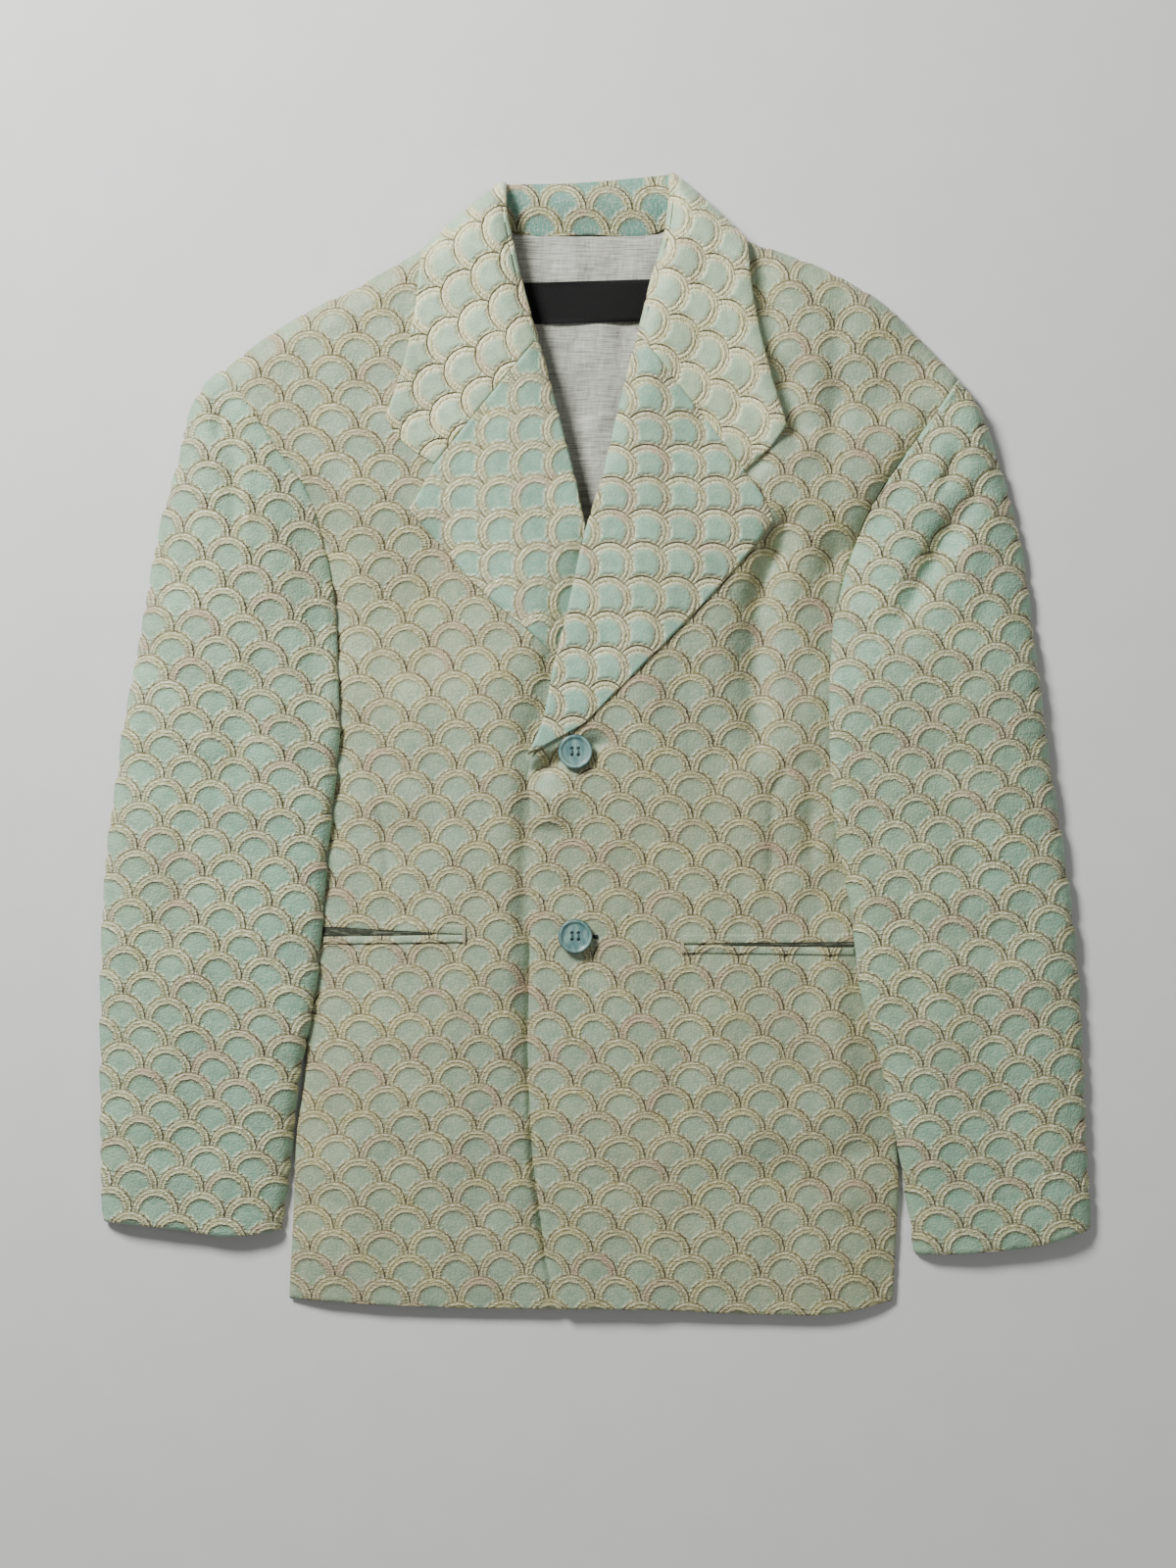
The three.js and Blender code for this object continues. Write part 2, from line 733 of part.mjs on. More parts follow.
// Back: one panel flat on the surface, raised where the back of the collar lies under it
function addBack() {
  const [right, left] = [OUTLINE.right, OUTLINE.left];
  const turned = (points) => [...points].reverse();
  const grid = patch({
    top: legs(
      [right.shoulder, COLUMNS.shoulder],
      [BACK_NECK, COLUMNS.neck],
      [turned(left.shoulder), COLUMNS.shoulder],
    ),
    bottom: legs([right.hem, COLUMNS.front / 2], [turned(left.hem).slice(2), COLUMNS.front / 2]),
    left: legs([right.armhole, ROWS.armhole], [right.sideSeam, ROWS.below]),
    right: legs([left.armhole, ROWS.armhole], [left.sideSeam, ROWS.below]),
  });
  const outer = raised(drawnIn(grid), (x, y) => CLOTH + collarBed(x, y));
  addPiece('back', wall(outer, CLOTH), COLOUR.brocade, 0.6);
}

// Sleeve: the top sleeve arches over the under sleeve, which climbs onto the body's edge
function addSleeve(side) {
  const line = OUTLINE[side];
  const head = [line.sleeveHead[0], line.armhole[0]];
  const edges = (spacing) => ({
    top: spaced(along(head, FINE), spacing),
    bottom: spaced(along(line.cuff, FINE), spacing),
    left: legs([line.sleeveHead, ROWS.armhole], [line.sleeveOuter, ROWS.below]),
    right: legs([line.armhole, ROWS.armhole], [line.sleeveFold, ROWS.below]),
  });
  const topGrid = drawnIn(patch(edges(SLEEVE_COLUMNS.top)));
  const topOuter = raised(topGrid, (x, y, across, row) =>
    topSleeveHeight(side, x, y, across, row[row.length - 1]),
  );
  addPiece(`top_sleeve_${side}`, wall(topOuter, CLOTH), COLOUR.brocade, 0.6);
  const underGrid = drawnIn(patch(edges(SLEEVE_COLUMNS.under)));
  const underOuter = raised(underGrid, (x, y) => underSleeveHeight(side, x, y));
  addPiece(`under_sleeve_${side}`, wall(underOuter, CLOTH), COLOUR.brocade, 0.6);
}

function addLapel(side) {
  const line = OUTLINE[side];
  const columns = COLUMNS.gorge + COLUMNS.notch;
  const end = [line.lapelRoll[line.lapelRoll.length - 1], line.lapelOuter[line.lapelOuter.length - 1]];
  const grid = patch({
    top: legs([line.gorge, COLUMNS.gorge], [line.lapelTop, COLUMNS.notch]),
    bottom: along(end, columns),
    left: along(line.lapelRoll, ROWS.lapel),
    right: along(line.lapelOuter, ROWS.lapel),
  });
  const outer = raised(drawnIn(grid), (x, y) => lapelHeight(side, x, y));
  addPiece(`lapel_${side}`, wall(outer, CLOTH), COLOUR.facing, 0.5);
}

// Collar leaf on the front of one side, from the gorge seam to where it rounds over the shoulder
function addCollarLeaf(side) {
  const line = OUTLINE[side];
  const columns = COLUMNS.gorge + COLUMNS.notch;
  const grid = patch({
    top: along([...line.leafTop].reverse(), columns),
    bottom: legs([line.gorge, COLUMNS.gorge], [line.leafBottom, COLUMNS.notch]),
    left: along(line.leafFold, ROWS.leaf),
    right: along(line.leafOuter, ROWS.leaf),
  });
  const outer = raised(drawnIn(grid), (x, y) => lapelHeight(side, x, y));
  addPiece(`collar_leaf_${side}`, wall(outer, CLOTH), COLOUR.brocade, 0.6);
}

// The rest of the leaf, flat behind the neck
function addBackLeaf() {
  const columns = COLUMNS.stand;
  const grid = patch({
    top: along(COLLAR_FOLD, columns),
    bottom: along(BACK_LEAF_BOTTOM, columns),
    left: along([...OUTLINE.right.leafTop.slice(0, 2), COLLAR_FOLD[0]].reverse(), ROWS.backLeaf),
    right: along([...OUTLINE.left.leafTop.slice(0, 2), COLLAR_FOLD[3]].reverse(), ROWS.backLeaf),
  });
  addPiece('collar_leaf_back', wall(raised(drawnIn(grid), () => CLOTH), CLOTH), COLOUR.brocade, 0.6);
}

// Stand: the strip inside the neck, up from the neck seam and over to the collar's fold
function addStand() {
  const bed = CLOTH + SEAM;
  const seamHeight = bed + 2 * CLOTH + SEAM;
  const crest = 4.5;
  const grid = patch({
    top: along(COLLAR_FOLD, COLUMNS.stand),
    bottom: along(STAND_SEAM, COLUMNS.stand),
    left: along([COLLAR_FOLD[0], { x: -70, y: 378 }, STAND_SEAM[0]], ROWS.stand),
    right: along([COLLAR_FOLD[3], { x: 58, y: 383 }, STAND_SEAM[4]], ROWS.stand),
  });
  const outer = raised(drawnIn(grid), (x, y, across, row, j) => {
    const up = 1 - j / ROWS.stand;
    const foldHeight = bed + CLOTH + 0.1;
    return seamHeight + (foldHeight - seamHeight) * up + crest * Math.sin(Math.PI * up ** 1.4);
  });
  addPiece('collar_stand', wall(outer, CLOTH), COLOUR.brocade, 0.6);
}

function liningHeight(x, y) {
  return CLOTH + collarBed(x, y) + SEAM + LINING;
}

function addLining() {
  const grid = patch({
    top: along(LINING_OUTLINE.top, COLUMNS.lining),
    bottom: along(LINING_OUTLINE.bottom, COLUMNS.lining),
    left: along(LINING_OUTLINE.left, ROWS.lining),
    right: along(LINING_OUTLINE.right, ROWS.lining),
  });
  addPiece('back_lining', wall(raised(drawnIn(grid), liningHeight), LINING), COLOUR.lining, 0.8);
}

function addLabel() {
  const corner = (across, up) => {
    const [dx, dy] = [(across * LABEL.width) / 2, (up * LABEL.height) / 2];
    return { x: LABEL.x + dx - dy * LABEL.turn, y: LABEL.y + dy + dx * LABEL.turn };
  };
  const grid = patch({
    top: along([corner(-1, 1), corner(1, 1)], 4),
    bottom: along([corner(-1, -1), corner(1, -1)], 4),
    left: along([corner(-1, 1), corner(-1, -1)], 2),
    right: along([corner(1, 1), corner(1, -1)], 2),
  });
  const outer = raised(grid, (x, y) => liningHeight(x, y) + SEAM + LABEL.thick);
  addPiece('label', wall(outer, LABEL.thick), COLOUR.label, 0.7);
}

// Pocket: two jets along the lips of the slit, and the darker cloth that shows between them
function addPocket(side) {
  const pocket = POCKETS[side];
  const inward = Math.sign(pocket.inner - pocket.outer);
  const lip = (x, up, width) => {
    const q = (x - pocket.outer) / (pocket.inner - pocket.outer);
    const middle = pocket.yOuter + (pocket.yInner - pocket.yOuter) * q;
    const gape = Math.max(0.4, pocket.gapeOuter + (pocket.gapeInner - pocket.gapeOuter) * q);
    return { x, y: middle + up * (gape / 2 + width) };
  };
  const strip = (name, upFrom, upTo, from, to, thickness, colour, lay) => {
    const line = ({ up, width }) => [from, (from + to) / 2, to].map((x) => lip(x, up, width));
    const [top, bottom] = [line(upFrom), line(upTo)];
    const grid = patch({
      top: along(top, COLUMNS.jet),
      bottom: along(bottom, COLUMNS.jet),
      left: along([top[0], bottom[0]], ROWS.jet),
      right: along([top[2], bottom[2]], ROWS.jet),
    });
    const outer = raised(grid, (x, y) => frontHeight(side, x, y) + lay + thickness);
    addPiece(name, wall(outer, thickness), colour, 0.6);
  };
  const end = pocket.inner + inward * POCKET_END;
  const lay = SEAM + 0.1;
  const outerEdge = (up, width) => ({ up, width });
  strip(`pocket_jet_upper_${side}`, outerEdge(1, JET.upper), outerEdge(1, 0), pocket.outer, end,
    JET.thick, COLOUR.brocade, lay);
  strip(`pocket_jet_lower_${side}`, outerEdge(-1, 0), outerEdge(-1, JET.lower), pocket.outer, end,
    JET.thick, COLOUR.brocade, lay);
  const inset = -SEAM;
  const facingEnd = pocket.outer + (pocket.inner - pocket.outer) * 0.8;
  strip(`pocket_facing_${side}`, outerEdge(1, inset), outerEdge(-1, inset), pocket.outer, facingEnd,
    JET.thick / 2, COLOUR.pocket, lay);
}

function solidOf(geometry) {
  const plain = geometry.clone();
  plain.deleteAttribute('normal');
  plain.deleteAttribute('uv');
  const merged = mergeVertices(plain, 1e-4);
  return new wasm.Manifold(
    new wasm.Mesh({
      numProp: 3,
      vertProperties: new Float32Array(merged.attributes.position.array),
      triVerts: new Uint32Array(merged.index.array),
    }),
  );
}

// Four-hole button: a disc with a raised rim round a shallow dish
function buttonGeometry() {
  const { radius, thick, rim, dish, hole, holePitch } = BUTTON;
  const profile = [
    new THREE.Vector2(0, 0),
    new THREE.Vector2(radius - 1.2, 0),
    new THREE.Vector2(radius, 1.1),
    new THREE.Vector2(radius, thick - 0.9),
    new THREE.Vector2(radius - 0.8, thick),
    new THREE.Vector2(radius - rim, thick),
    new THREE.Vector2(radius - rim - 1, thick - dish),
    new THREE.Vector2(0, thick - dish - 0.2),
  ];
  let solid = solidOf(new THREE.LatheGeometry(profile, 32).rotateX(Math.PI / 2));
  for (const [sx, sy] of [[1, 1], [-1, 1], [-1, -1], [1, -1]]) {
    const drill = new THREE.CylinderGeometry(hole, hole, 4 * thick, 10).rotateX(Math.PI / 2);
    drill.translate((sx * holePitch) / 2, (sy * holePitch) / 2, thick / 2);
    solid = solid.subtract(solidOf(drill));
  }
  const mesh = solid.getMesh();
  const geometry = new THREE.BufferGeometry();
  geometry.setAttribute('position', new THREE.BufferAttribute(mesh.vertProperties, 3));
  geometry.setIndex(new THREE.BufferAttribute(mesh.triVerts, 1));
  geometry.computeVertexNormals();
  return geometry;
}

function addButtons() {
  for (const { name, x, y } of BUTTONS) {
    const rim = [];
    for (let turn = 0; turn < 2 * Math.PI; turn += Math.PI / 8) {
      const [dx, dy] = [BUTTON.radius * Math.cos(turn), BUTTON.radius * Math.sin(turn)];
      rim.push(frontHeight('left', x + dx, y + dy), frontHeight('left', x + dx / 2, y + dy / 2));
    }
    const mesh = addPiece(name, buttonGeometry(), COLOUR.button, 0.35);
    mesh.position.set(x, y, Math.max(...rim) + SEAM);
  }
}

addBack();
addBackLeaf();
addLining();
addLabel();
for (const side of ['right', 'left']) {
  addFront(side);
  addLapel(side);
  addCollarLeaf(side);
  addSleeve(side);
  addPocket(side);
}
addStand();
addButtons();

export default blazer;
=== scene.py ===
"""A single-breasted blazer in scale-patterned satin brocade, laid flat on its back, buttoned.

Tables and heights are in millimetres and become metres when a mesh is made. +Y points to the collar, +X to
the wearer's left, +Z up. Left and right are the wearer's. The left front laps over the right one.
"""

import math

import bmesh
import bpy
import numpy as np
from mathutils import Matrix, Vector


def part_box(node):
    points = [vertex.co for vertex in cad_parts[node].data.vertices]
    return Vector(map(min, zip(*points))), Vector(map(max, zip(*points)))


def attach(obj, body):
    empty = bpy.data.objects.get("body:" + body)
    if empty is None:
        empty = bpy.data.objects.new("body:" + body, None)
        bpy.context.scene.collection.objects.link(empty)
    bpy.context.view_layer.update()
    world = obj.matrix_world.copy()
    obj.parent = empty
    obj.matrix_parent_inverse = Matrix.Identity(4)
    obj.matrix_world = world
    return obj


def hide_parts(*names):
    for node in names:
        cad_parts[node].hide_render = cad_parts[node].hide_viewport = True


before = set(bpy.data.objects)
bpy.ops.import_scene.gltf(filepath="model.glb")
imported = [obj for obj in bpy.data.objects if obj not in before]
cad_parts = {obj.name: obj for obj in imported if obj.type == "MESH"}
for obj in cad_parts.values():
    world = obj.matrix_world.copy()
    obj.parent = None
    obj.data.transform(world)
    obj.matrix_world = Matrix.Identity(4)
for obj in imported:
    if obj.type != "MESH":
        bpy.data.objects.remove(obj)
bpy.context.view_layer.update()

MM = 0.001
CLOTH = 1.6
LINING = 1.0
SEAM = 0.3
DRAPE = 0.9
SLEEVE_AIR = 0.5
SHOULDER_ROUND = 24
HEAD_ROUND = 15
CELL = 1.9
PLAIN_CELL = 5.0
RIM = (0.35, 1.0)
EDGE_ROUNDING = 0.3
ARMHOLE_STEPS, SIDE_STEPS = 7, 13
SEAM_COLUMNS = 5
SLEEVE_WIDTH = 150

# Scale pattern: pitch across and of the rows, radius of a scale, then of its satin, which sits higher
SCALE = {"across": 33.0, "rows": 16.9, "radius": 17.0, "satin": 10.9, "rise": 0.7, "line": 0.65}
PUFF = {"body": 1.35, "facing": 0.85, "sleeve": 2.1}
# A scale's bevel, its tuck under the next row, its height and how much more at the tip, the plain margin
RELIEF = {"bevel": 4.2, "tuck": (-1.5, 2.5), "level": 0.68, "tip": 0.32, "margin": 1.8}

BODY_SECTIONS = {
    "y": [-398, -300, -220, -120, 0, 97, 135, 170, 260, 400],
    "crown": [9.5, 12.5, 14, 15, 17, 18.5, 19.5, 20.5, 22.5, 23],
    "edge": [3.5, 3.5, 3.5, 3.5, 3.5, 3.6, 10, 17, 20, 22],
    "rise": [55, 60, 110, 150, 150, 140, 120, 110, 100, 90],
}
SLEEVE_SECTIONS = {
    "y": [-360, -250, -120, 0, 120, 200, 262],
    "crown": [12, 16.5, 19, 21.5, 24.5, 26, 19],
}
SLEEVE_SINK = {"right": 0, "left": 4.5}
SLEEVE_PRESS = 1.6
LAP_SECTIONS = {
    "y": [-398, -40, 5, 130, 200, 300, 400],
    "lift": [2.4, 2.4, 5.6, 5.6, 2.5, 0.5, 0],
}
LAP_END = {"from": 24, "to": 80}
ROLL_SECTIONS = {
    "y": [-20, 140, 230, 290, 350, 400],
    "bulge": [0, 0.6, 2.2, 3.6, 5.5, 4],
}
ROLL_WIDTH = 14

# Folds as soft troughs: x0, y0, x1, y1, depth, width
BODY_FOLDS = [
    (119, 134, 98, 30, 3.4, 13),
    (212, 186, 160, 118, 3.2, 12),
    (-205, 176, -150, 60, 2.4, 16),
    (-150, -20, -140, -118, 2.0, 11),
    (126, -18, 122, -120, 2.2, 11),
    (190, -300, 70, -330, 1.8, 16),
    (-60, -180, -75, -330, 1.6, 20),
]
SLEEVE_FOLDS = [
    (247, 160, 209, 76, 4.6, 12),
    (254, 206, 238, 172, 2.6, 9),
    (-262, 240, -250, 150, 2.8, 9),
    (-230, 70, -262, -40, 2.2, 14),
    (228, 20, 258, -90, 2.2, 14),
    (-262, -150, -282, -290, 1.8, 16),
    (268, -160, 290, -300, 1.8, 16),
]

# Smaller creases, darts and puckers
BODY_CREASES = [
    (-157, -14, -148, -60, 1.3, 3.2),
    (-148, -60, -144, -112, 1.2, 3.0),
    (134, -16, 123, -34, 1.6, 4.0),
    (123, -34, 121, -104, 1.2, 3.0),
    (148, -20, 140, -8, 1.5, 4.5),
    (162, -22, 152, -14, 1.5, 5.0),
    (150, -30, 158, -128, 3.4, 11),
    (190, -146, 209, -268, 3.5, 12),
    (-22, -6, -47, -22, 1.7, 5.0),
    (-51, -20, -52, -250, 1.7, 6.0),
    (208, -280, 166, -288, 1.3, 7.0),
    (206, -326, 158, -336, 1.2, 8.0),
    (204, -232, 176, -236, 1.0, 6.0),
    (-206, -262, -170, -266, 1.0, 7.0),
    (-208, -318, -176, -322, 0.9, 7.0),
    (-192, 60, -168, -24, 1.8, 9.0),
    (96, 34, 84, -38, 1.2, 11),
    (64, -150, 58, -262, 1.0, 15),
    (-112, 40, -104, -60, 1.0, 14),
    (20, -280, 24, -372, 1.1, 13),
    (126, -268, 134, -378, 1.2, 12),
    (-140, -240, -146, -360, 1.0, 14),
    (-178, 284, -150, 236, 1.4, 10),
    (150, 304, 142, 258, 1.3, 9),
    (-196, 250, -172, 190, 1.2, 9),
    (174, 250, 150, 184, 1.5, 9),
    (-188, 204, -174, 60, 1.8, 11),
    (168, 308, 164, 176, 4.0, 11),
    (164, 142, 168, 52, 4.8, 9.5),
    (128, 146, 114, 74, 5.6, 11),
    (126, 140, 108, 92, 4.6, 9),
    (114, 76, 111, -6, 8.6, 12),
    (149, -46, 152, -84, 3.0, 6),
    (168, -58, 174, -130, 4.2, 9),
    (161, -142, 181, -262, -5.6, 14),
    (-173, 120, -175, 20, -3.4, 16),
    (-120, 152, -114, 44, 5.2, 32),
    (216, 286, 202, 224, 6.0, 30),
    (58, -304, 182, -288, 2.4, 19),
]
# Only on the wearer's right, beside the edge of the left front and lapel,
# and only on the left front, by its leaf
SIDE_CREASES = {
    "right": [
        (-6, 140, -22, 70, 6.6, 14),
        (-22, 70, -44, -6, 8.4, 15),
        (-46, -14, -46, -150, 5.6, 10),
        (-46, -150, -48, -250, 4.8, 10),
        (-47, -262, -33, -380, 3.4, 9),
        (-46.5, -130, -48, -215, 4.4, 2.4),
        (-48, -215, -45, -287, 4.8, 2.4),
        (-45, -287, -36.5, -352, 4.8, 2.4),
        (-36.5, -352, -28, -392, 4.2, 2.4),
    ],
    "left": [
        (113, 338, 129, 262, 8.0, 11),
        (129, 262, 144, 212, 8.6, 11),
        (118, 200, 104, 186, 3.6, 6),
        (134, 160, 126, 126, 4.6, 8),
        (236, 232, 206, 184, 3.4, 7),
        (206, 184, 178, 128, 4.2, 7),
        (-44, -20, 4, 1, 7.6, 6.5),
        (-31, -32, -33, -56, -4.6, 12),
    ],
}
SLEEVE_CREASES = [
    (-262, 233, -262, 210, 1.6, 4.5),
    (-250, 217, -250, 154, 1.8, 5.5),
    (-236, 190, -232, 120, 1.2, 7.0),
    (210, 183, 181, 145, 2.4, 6.5),
    (181, 145, 167, 124, 1.8, 6.0),
    (251, 200, 241, 180, 1.8, 4.5),
    (246, 156, 234, 132, 2.2, 5.5),
    (234, 132, 211, 84, 2.2, 7.5),
    (276, 130, 268, 72, 1.3, 8.0),
    (-214, 20, -190, -30, 1.2, 9.0),
    (-300, 60, -312, -30, 1.1, 11),
    (-286, -60, -296, -150, 1.2, 13),
    (-240, -150, -250, -226, 1.2, 12),
    (-330, -180, -326, -270, 1.0, 10),
    (182, -20, 196, -76, 1.4, 9.0),
    (210, -110, 222, -196, 1.3, 12),
    (296, -40, 304, -130, 1.1, 12),
    (322, -170, 326, -250, 1.0, 10),
    (244, -250, 262, -330, 1.1, 12),
    (-262, -270, -282, -330, 1.0, 12),
    (268, 184, 230, 110, 4.6, 9),
    (240, 236, 186, 132, 2.4, 7),
    (-214, 188, -195, 112, 4.6, 12),
    (-193, 106, -190, 14, 4.6, 12),
]

# Outlines from above, each from the collar down to the hem or cuff
OUTLINE = {
    "right": {
        "armhole": [(-258.7, 261), (-244, 240.7), (-221, 204), (-201.6, 176.8), (-190, 140), (-182, 97)],
        "side_seam": [(-182, 97), (-193, 64), (-205, 36), (-204, -10), (-201, -60), (-200, -120),
                      (-202, -180), (-204, -232), (-209.5, -270), (-211.5, -316), (-215, -387)],
        "sleeve_fold": [(-182, 97), (-180.4, 55), (-179.2, 13), (-181.5, -18), (-187.3, -70),
                        (-191.4, -122), (-196, -168), (-209, -240), (-215.5, -300), (-220.7, -340)],
        "sleeve_head": [(-271.7, 252.3), (-282.5, 233), (-291.4, 195.2), (-299.5, 170),
                        (-306.7, 137.7), (-314.5, 92.8)],
        "sleeve_outer": [(-314.5, 92.8), (-322.4, 48), (-329.2, 15), (-334.2, -24), (-340.5, -70),
                         (-344.1, -120), (-345.8, -242), (-344.4, -333.2)],
        "cuff": [(-344.4, -333.2), (-293.4, -338.4), (-257.9, -343.4), (-220.7, -340)],
        "shoulder": [(-258.7, 261), (-239.4, 276.8), (-208, 297.6), (-163.9, 319.6), (-120.9, 344.4),
                     (-76, 368)],
        "upper_roll": [(-76, 368), (-61.5, 348), (-54.4, 317), (-43, 278), (-28.2, 225), (-16.5, 182)],
        "lower_roll": [(-16.5, 182), (-6.7, 135.3), (2, 88), (11, 38), (17.8, -10), (19, -60),
                       (19, -130), (19, -220), (18.5, -310), (17, -394.2)],
        "hem": [(-215, -387), (-158, -391), (-87, -393.7), (17, -394.2)],
        "lapel_roll": [(-43, 278), (-28.2, 225), (-16.5, 182), (-6.7, 135.3), (2, 88), (11, 38), (16, 2)],
        "lapel_outer": [(-130.2, 162.5), (-102.7, 131.2), (-87.4, 113.6), (-29.6, 61.9), (-6, 32), (9, 0)],
        "gorge": [(-43, 278), (-80, 234), (-112.5, 193.8)],
        "lapel_top": [(-112.5, 193.8), (-124, 172.5), (-130.2, 162.5)],
        "leaf_bottom": [(-112.5, 193.8), (-138, 213), (-146.5, 226.8)],
        "leaf_fold": [(-66.6, 391.7), (-66.5, 380), (-61.5, 348), (-54.4, 317), (-43, 278)],
        "leaf_outer": [(-121.4, 344.4), (-126.1, 297.2), (-137, 252.3), (-146.5, 226.8)],
        "leaf_top": [(-121.4, 344.4), (-94.2, 369.9), (-66.6, 391.7)],
    },
    "left": {
        "armhole": [(252, 254.5), (236, 230), (212, 197), (193, 168), (177.5, 130), (166, 88)],
        "side_seam": [(166, 88), (178, 56), (190, 30), (192, -5), (191, -60), (193, -120), (199, -180),
                      (206, -240), (211.6, -297), (209.6, -350), (207.5, -389)],
        "sleeve_fold": [(166, 88), (162.9, 40), (163.6, -15), (166.9, -57), (177.8, -112),
                        (184.6, -170), (198, -219), (207, -262), (216, -308), (223.2, -356.5)],
        "sleeve_head": [(264.2, 239.4), (275.1, 212.2), (285.9, 177.5), (293.4, 150.3), (299.5, 120),
                        (304.3, 75.5)],
        "sleeve_outer": [(304.3, 75.5), (309.1, 40), (315.2, -7.5), (322.7, -55), (330.8, -109.5),
                         (336.3, -164), (339.2, -225), (341.5, -275), (345.1, -339.3)],
        "cuff": [(345.1, -339.3), (314.5, -348.6), (262.7, -355.2), (223.2, -356.5)],
        "shoulder": [(252, 254.5), (244.2, 263.2), (220.5, 287), (202.3, 305.3), (176.8, 321.6),
                     (125.9, 343.4), (104, 350.5), (64, 366)],
        "upper_roll": [(64, 366), (50.5, 352), (41.8, 322.3), (31.6, 281.5), (20, 238.7), (5.5, 183)],
        "lower_roll": [(5.5, 183), (-7.8, 137.6), (-15.3, 102.7), (-27.1, 53.7), (-38.6, 6.1),
                       (-46.2, -16), (-46.5, -45), (-43.2, -116), (-43.6, -165), (-45.6, -215),
                       (-42.5, -287), (-33.7, -352.6), (-24.8, -394)],
        "hem": [(207.5, -389), (170, -397.4), (108.7, -397.8), (30, -394.6), (-24.8, -394)],
        "lapel_roll": [(31.6, 281.5), (20, 238.7), (5.5, 183), (-7.8, 137.6), (-15.3, 102.7),
                       (-27.1, 53.7), (-38.6, 6.1), (-46, -7)],
        "lapel_outer": [(123.5, 154.5), (103.7, 129.9), (68.3, 91.1), (39.1, 61.5), (17.7, 40.1),
                        (-9, 13.5)],
        "gorge": [(31.6, 281.5), (67, 236), (103, 189.7)],
        "lapel_top": [(103, 189.7), (117.5, 168.5), (123.5, 154.5)],
        "leaf_bottom": [(103, 189.7), (121, 206), (132.3, 221)],
        "leaf_fold": [(54.5, 398), (54, 380), (50.5, 352), (41.8, 322.3), (31.6, 281.5)],
        "leaf_outer": [(104.2, 353.2), (108.1, 316.5), (117.8, 270), (132.3, 221)],
        "leaf_top": [(104.2, 353.2), (80, 376), (54.5, 398)],
    },
}
BACK_NECK = [(-76, 368), (-58, 357.5), (-7, 355.5), (46, 358.5), (64, 366)]
COLLAR_FOLD = [(-63.5, 391.7), (-18, 392.6), (34, 396.8), (51.5, 398.6)]
STAND_SEAM = [(-73, 366.5), (-58, 358), (-7, 356), (46, 359), (61, 369.5)]
LINING_OUTLINE = {
    "top": [(-72, 357), (-7, 354.8), (60, 357)],
    "bottom": [(-22, 112), (6, 112)],
    "left": [(-72, 357), (-48, 250), (-22, 112)],
    "right": [(60, 357), (36, 250), (6, 112)],
}
BACK_LEAF_BOTTOM = [(-121.4, 344.4), (-70, 340.5), (0, 339.5), (60, 342), (104.2, 353.2)]
ON_BODY = {"right": (-275, -238, 99, 140), "left": (-325, -285, 90, 132)}
STEP_UP = {"from": 27, "to": 10}
COLLAR_BED = {"from": 190, "to": 285, "centre": -8, "half_width": 165, "fade": 30}
LABEL = {"width": 104, "height": 29, "thick": 0.8, "x": -5.5, "y": 308.5, "turn": 0.028, "clear": 3.4}
# A turned-back edge: radius of the roll at its fold, and the free edge's lift, uneven along its length
ROLL = {"radius": 2.1, "more": 1.5, "from": 180, "to": 300, "clear": 0.4}
FREE_EDGE = {"reach": 24, "uneven": 0.35, "wave": 17}
STAND = {"swell": 4.5, "end_rise": 7, "end_reach": 15}
POCKETS = {
    "right": {"outer": -191, "inner": -96, "y_outer": -131, "y_inner": -132.5, "gape": (7, 0.5)},
    "left": {"outer": 180, "inner": 64, "y_outer": -140, "y_inner": -139.5, "gape": (4, 1.5)},
}
POCKET_END = 4
JET = {"upper": 6, "lower": 5, "thick": 1.0, "lift": 0.9, "facing_lift": 0.7, "round": 0.25}
# Outside a button: out from its middle and up, round the rim and down into the dish
BUTTON_PROFILE = [(0, 0), (6, 0), (10.6, 0), (11.6, 0.5), (12, 1.3), (12, 2.2), (11.7, 3.0), (11.0, 3.4),
                  (10.2, 3.35), (9.4, 2.9), (8.8, 2.5), (8, 2.35), (6, 2.25), (3, 2.2), (0, 2.2)]
BUTTON_RADIUS, BUTTON_DISH = 12, 2.2
HOLE = {"off": 2.2, "depth": 1.6, "radius": (0.8, 1.35)}
CORNERS = [(1, 1), (-1, 1), (-1, -1), (1, -1)]
# Corners round a thread, and the radius of each kind
THREAD_SIDES = 10
THREAD = {"button": 0.3, "holes": 0.95, "buttonhole": 0.27, "tack": 0.3}
# In metres
FLOOR = {"half": 6.0, "z": -0.0002}
CAMERA = {"sensor": 36, "lens": 72.1, "place": (-0.0058, -0.0279, 2.2)}
BUTTONS = {"button_top": (-14.6, -5.4), "button_lower": (-14.6, -133.6)}


def smoothstep(low, high, value):
    """0 below low, 1 above high, and an S curve 3q^2 - 2q^3 between them."""
    q = np.clip((value - low) / (high - low), 0, 1)
    return q * q * (3 - 2 * q)


def quarter_round(distance, reach):
    """Height of a quarter circle: 0 at the edge, 1 from reach inwards."""
    q = np.clip(distance / reach, 0, 1)
    return np.sqrt(1 - (1 - q) ** 2)


def hermite(x, xs, ys):
    """Smooth curve through the points (xs, ys): a cubic between each two, with the mean slope at each."""
    xs, ys = np.asarray(xs, float), np.asarray(ys, float)
    x = np.clip(x, xs[0], xs[-1])
    slopes = np.gradient(ys, xs)
    i = np.clip(np.searchsorted(xs, x, side="right") - 1, 0, len(xs) - 2)
    run = xs[i + 1] - xs[i]
    q = (x - xs[i]) / run
    start = (1 + 2 * q) * (1 - q) ** 2 * ys[i] + q * (1 - q) ** 2 * run * slopes[i]
    return start + q * q * (3 - 2 * q) * ys[i + 1] + q * q * (q - 1) * run * slopes[i + 1]


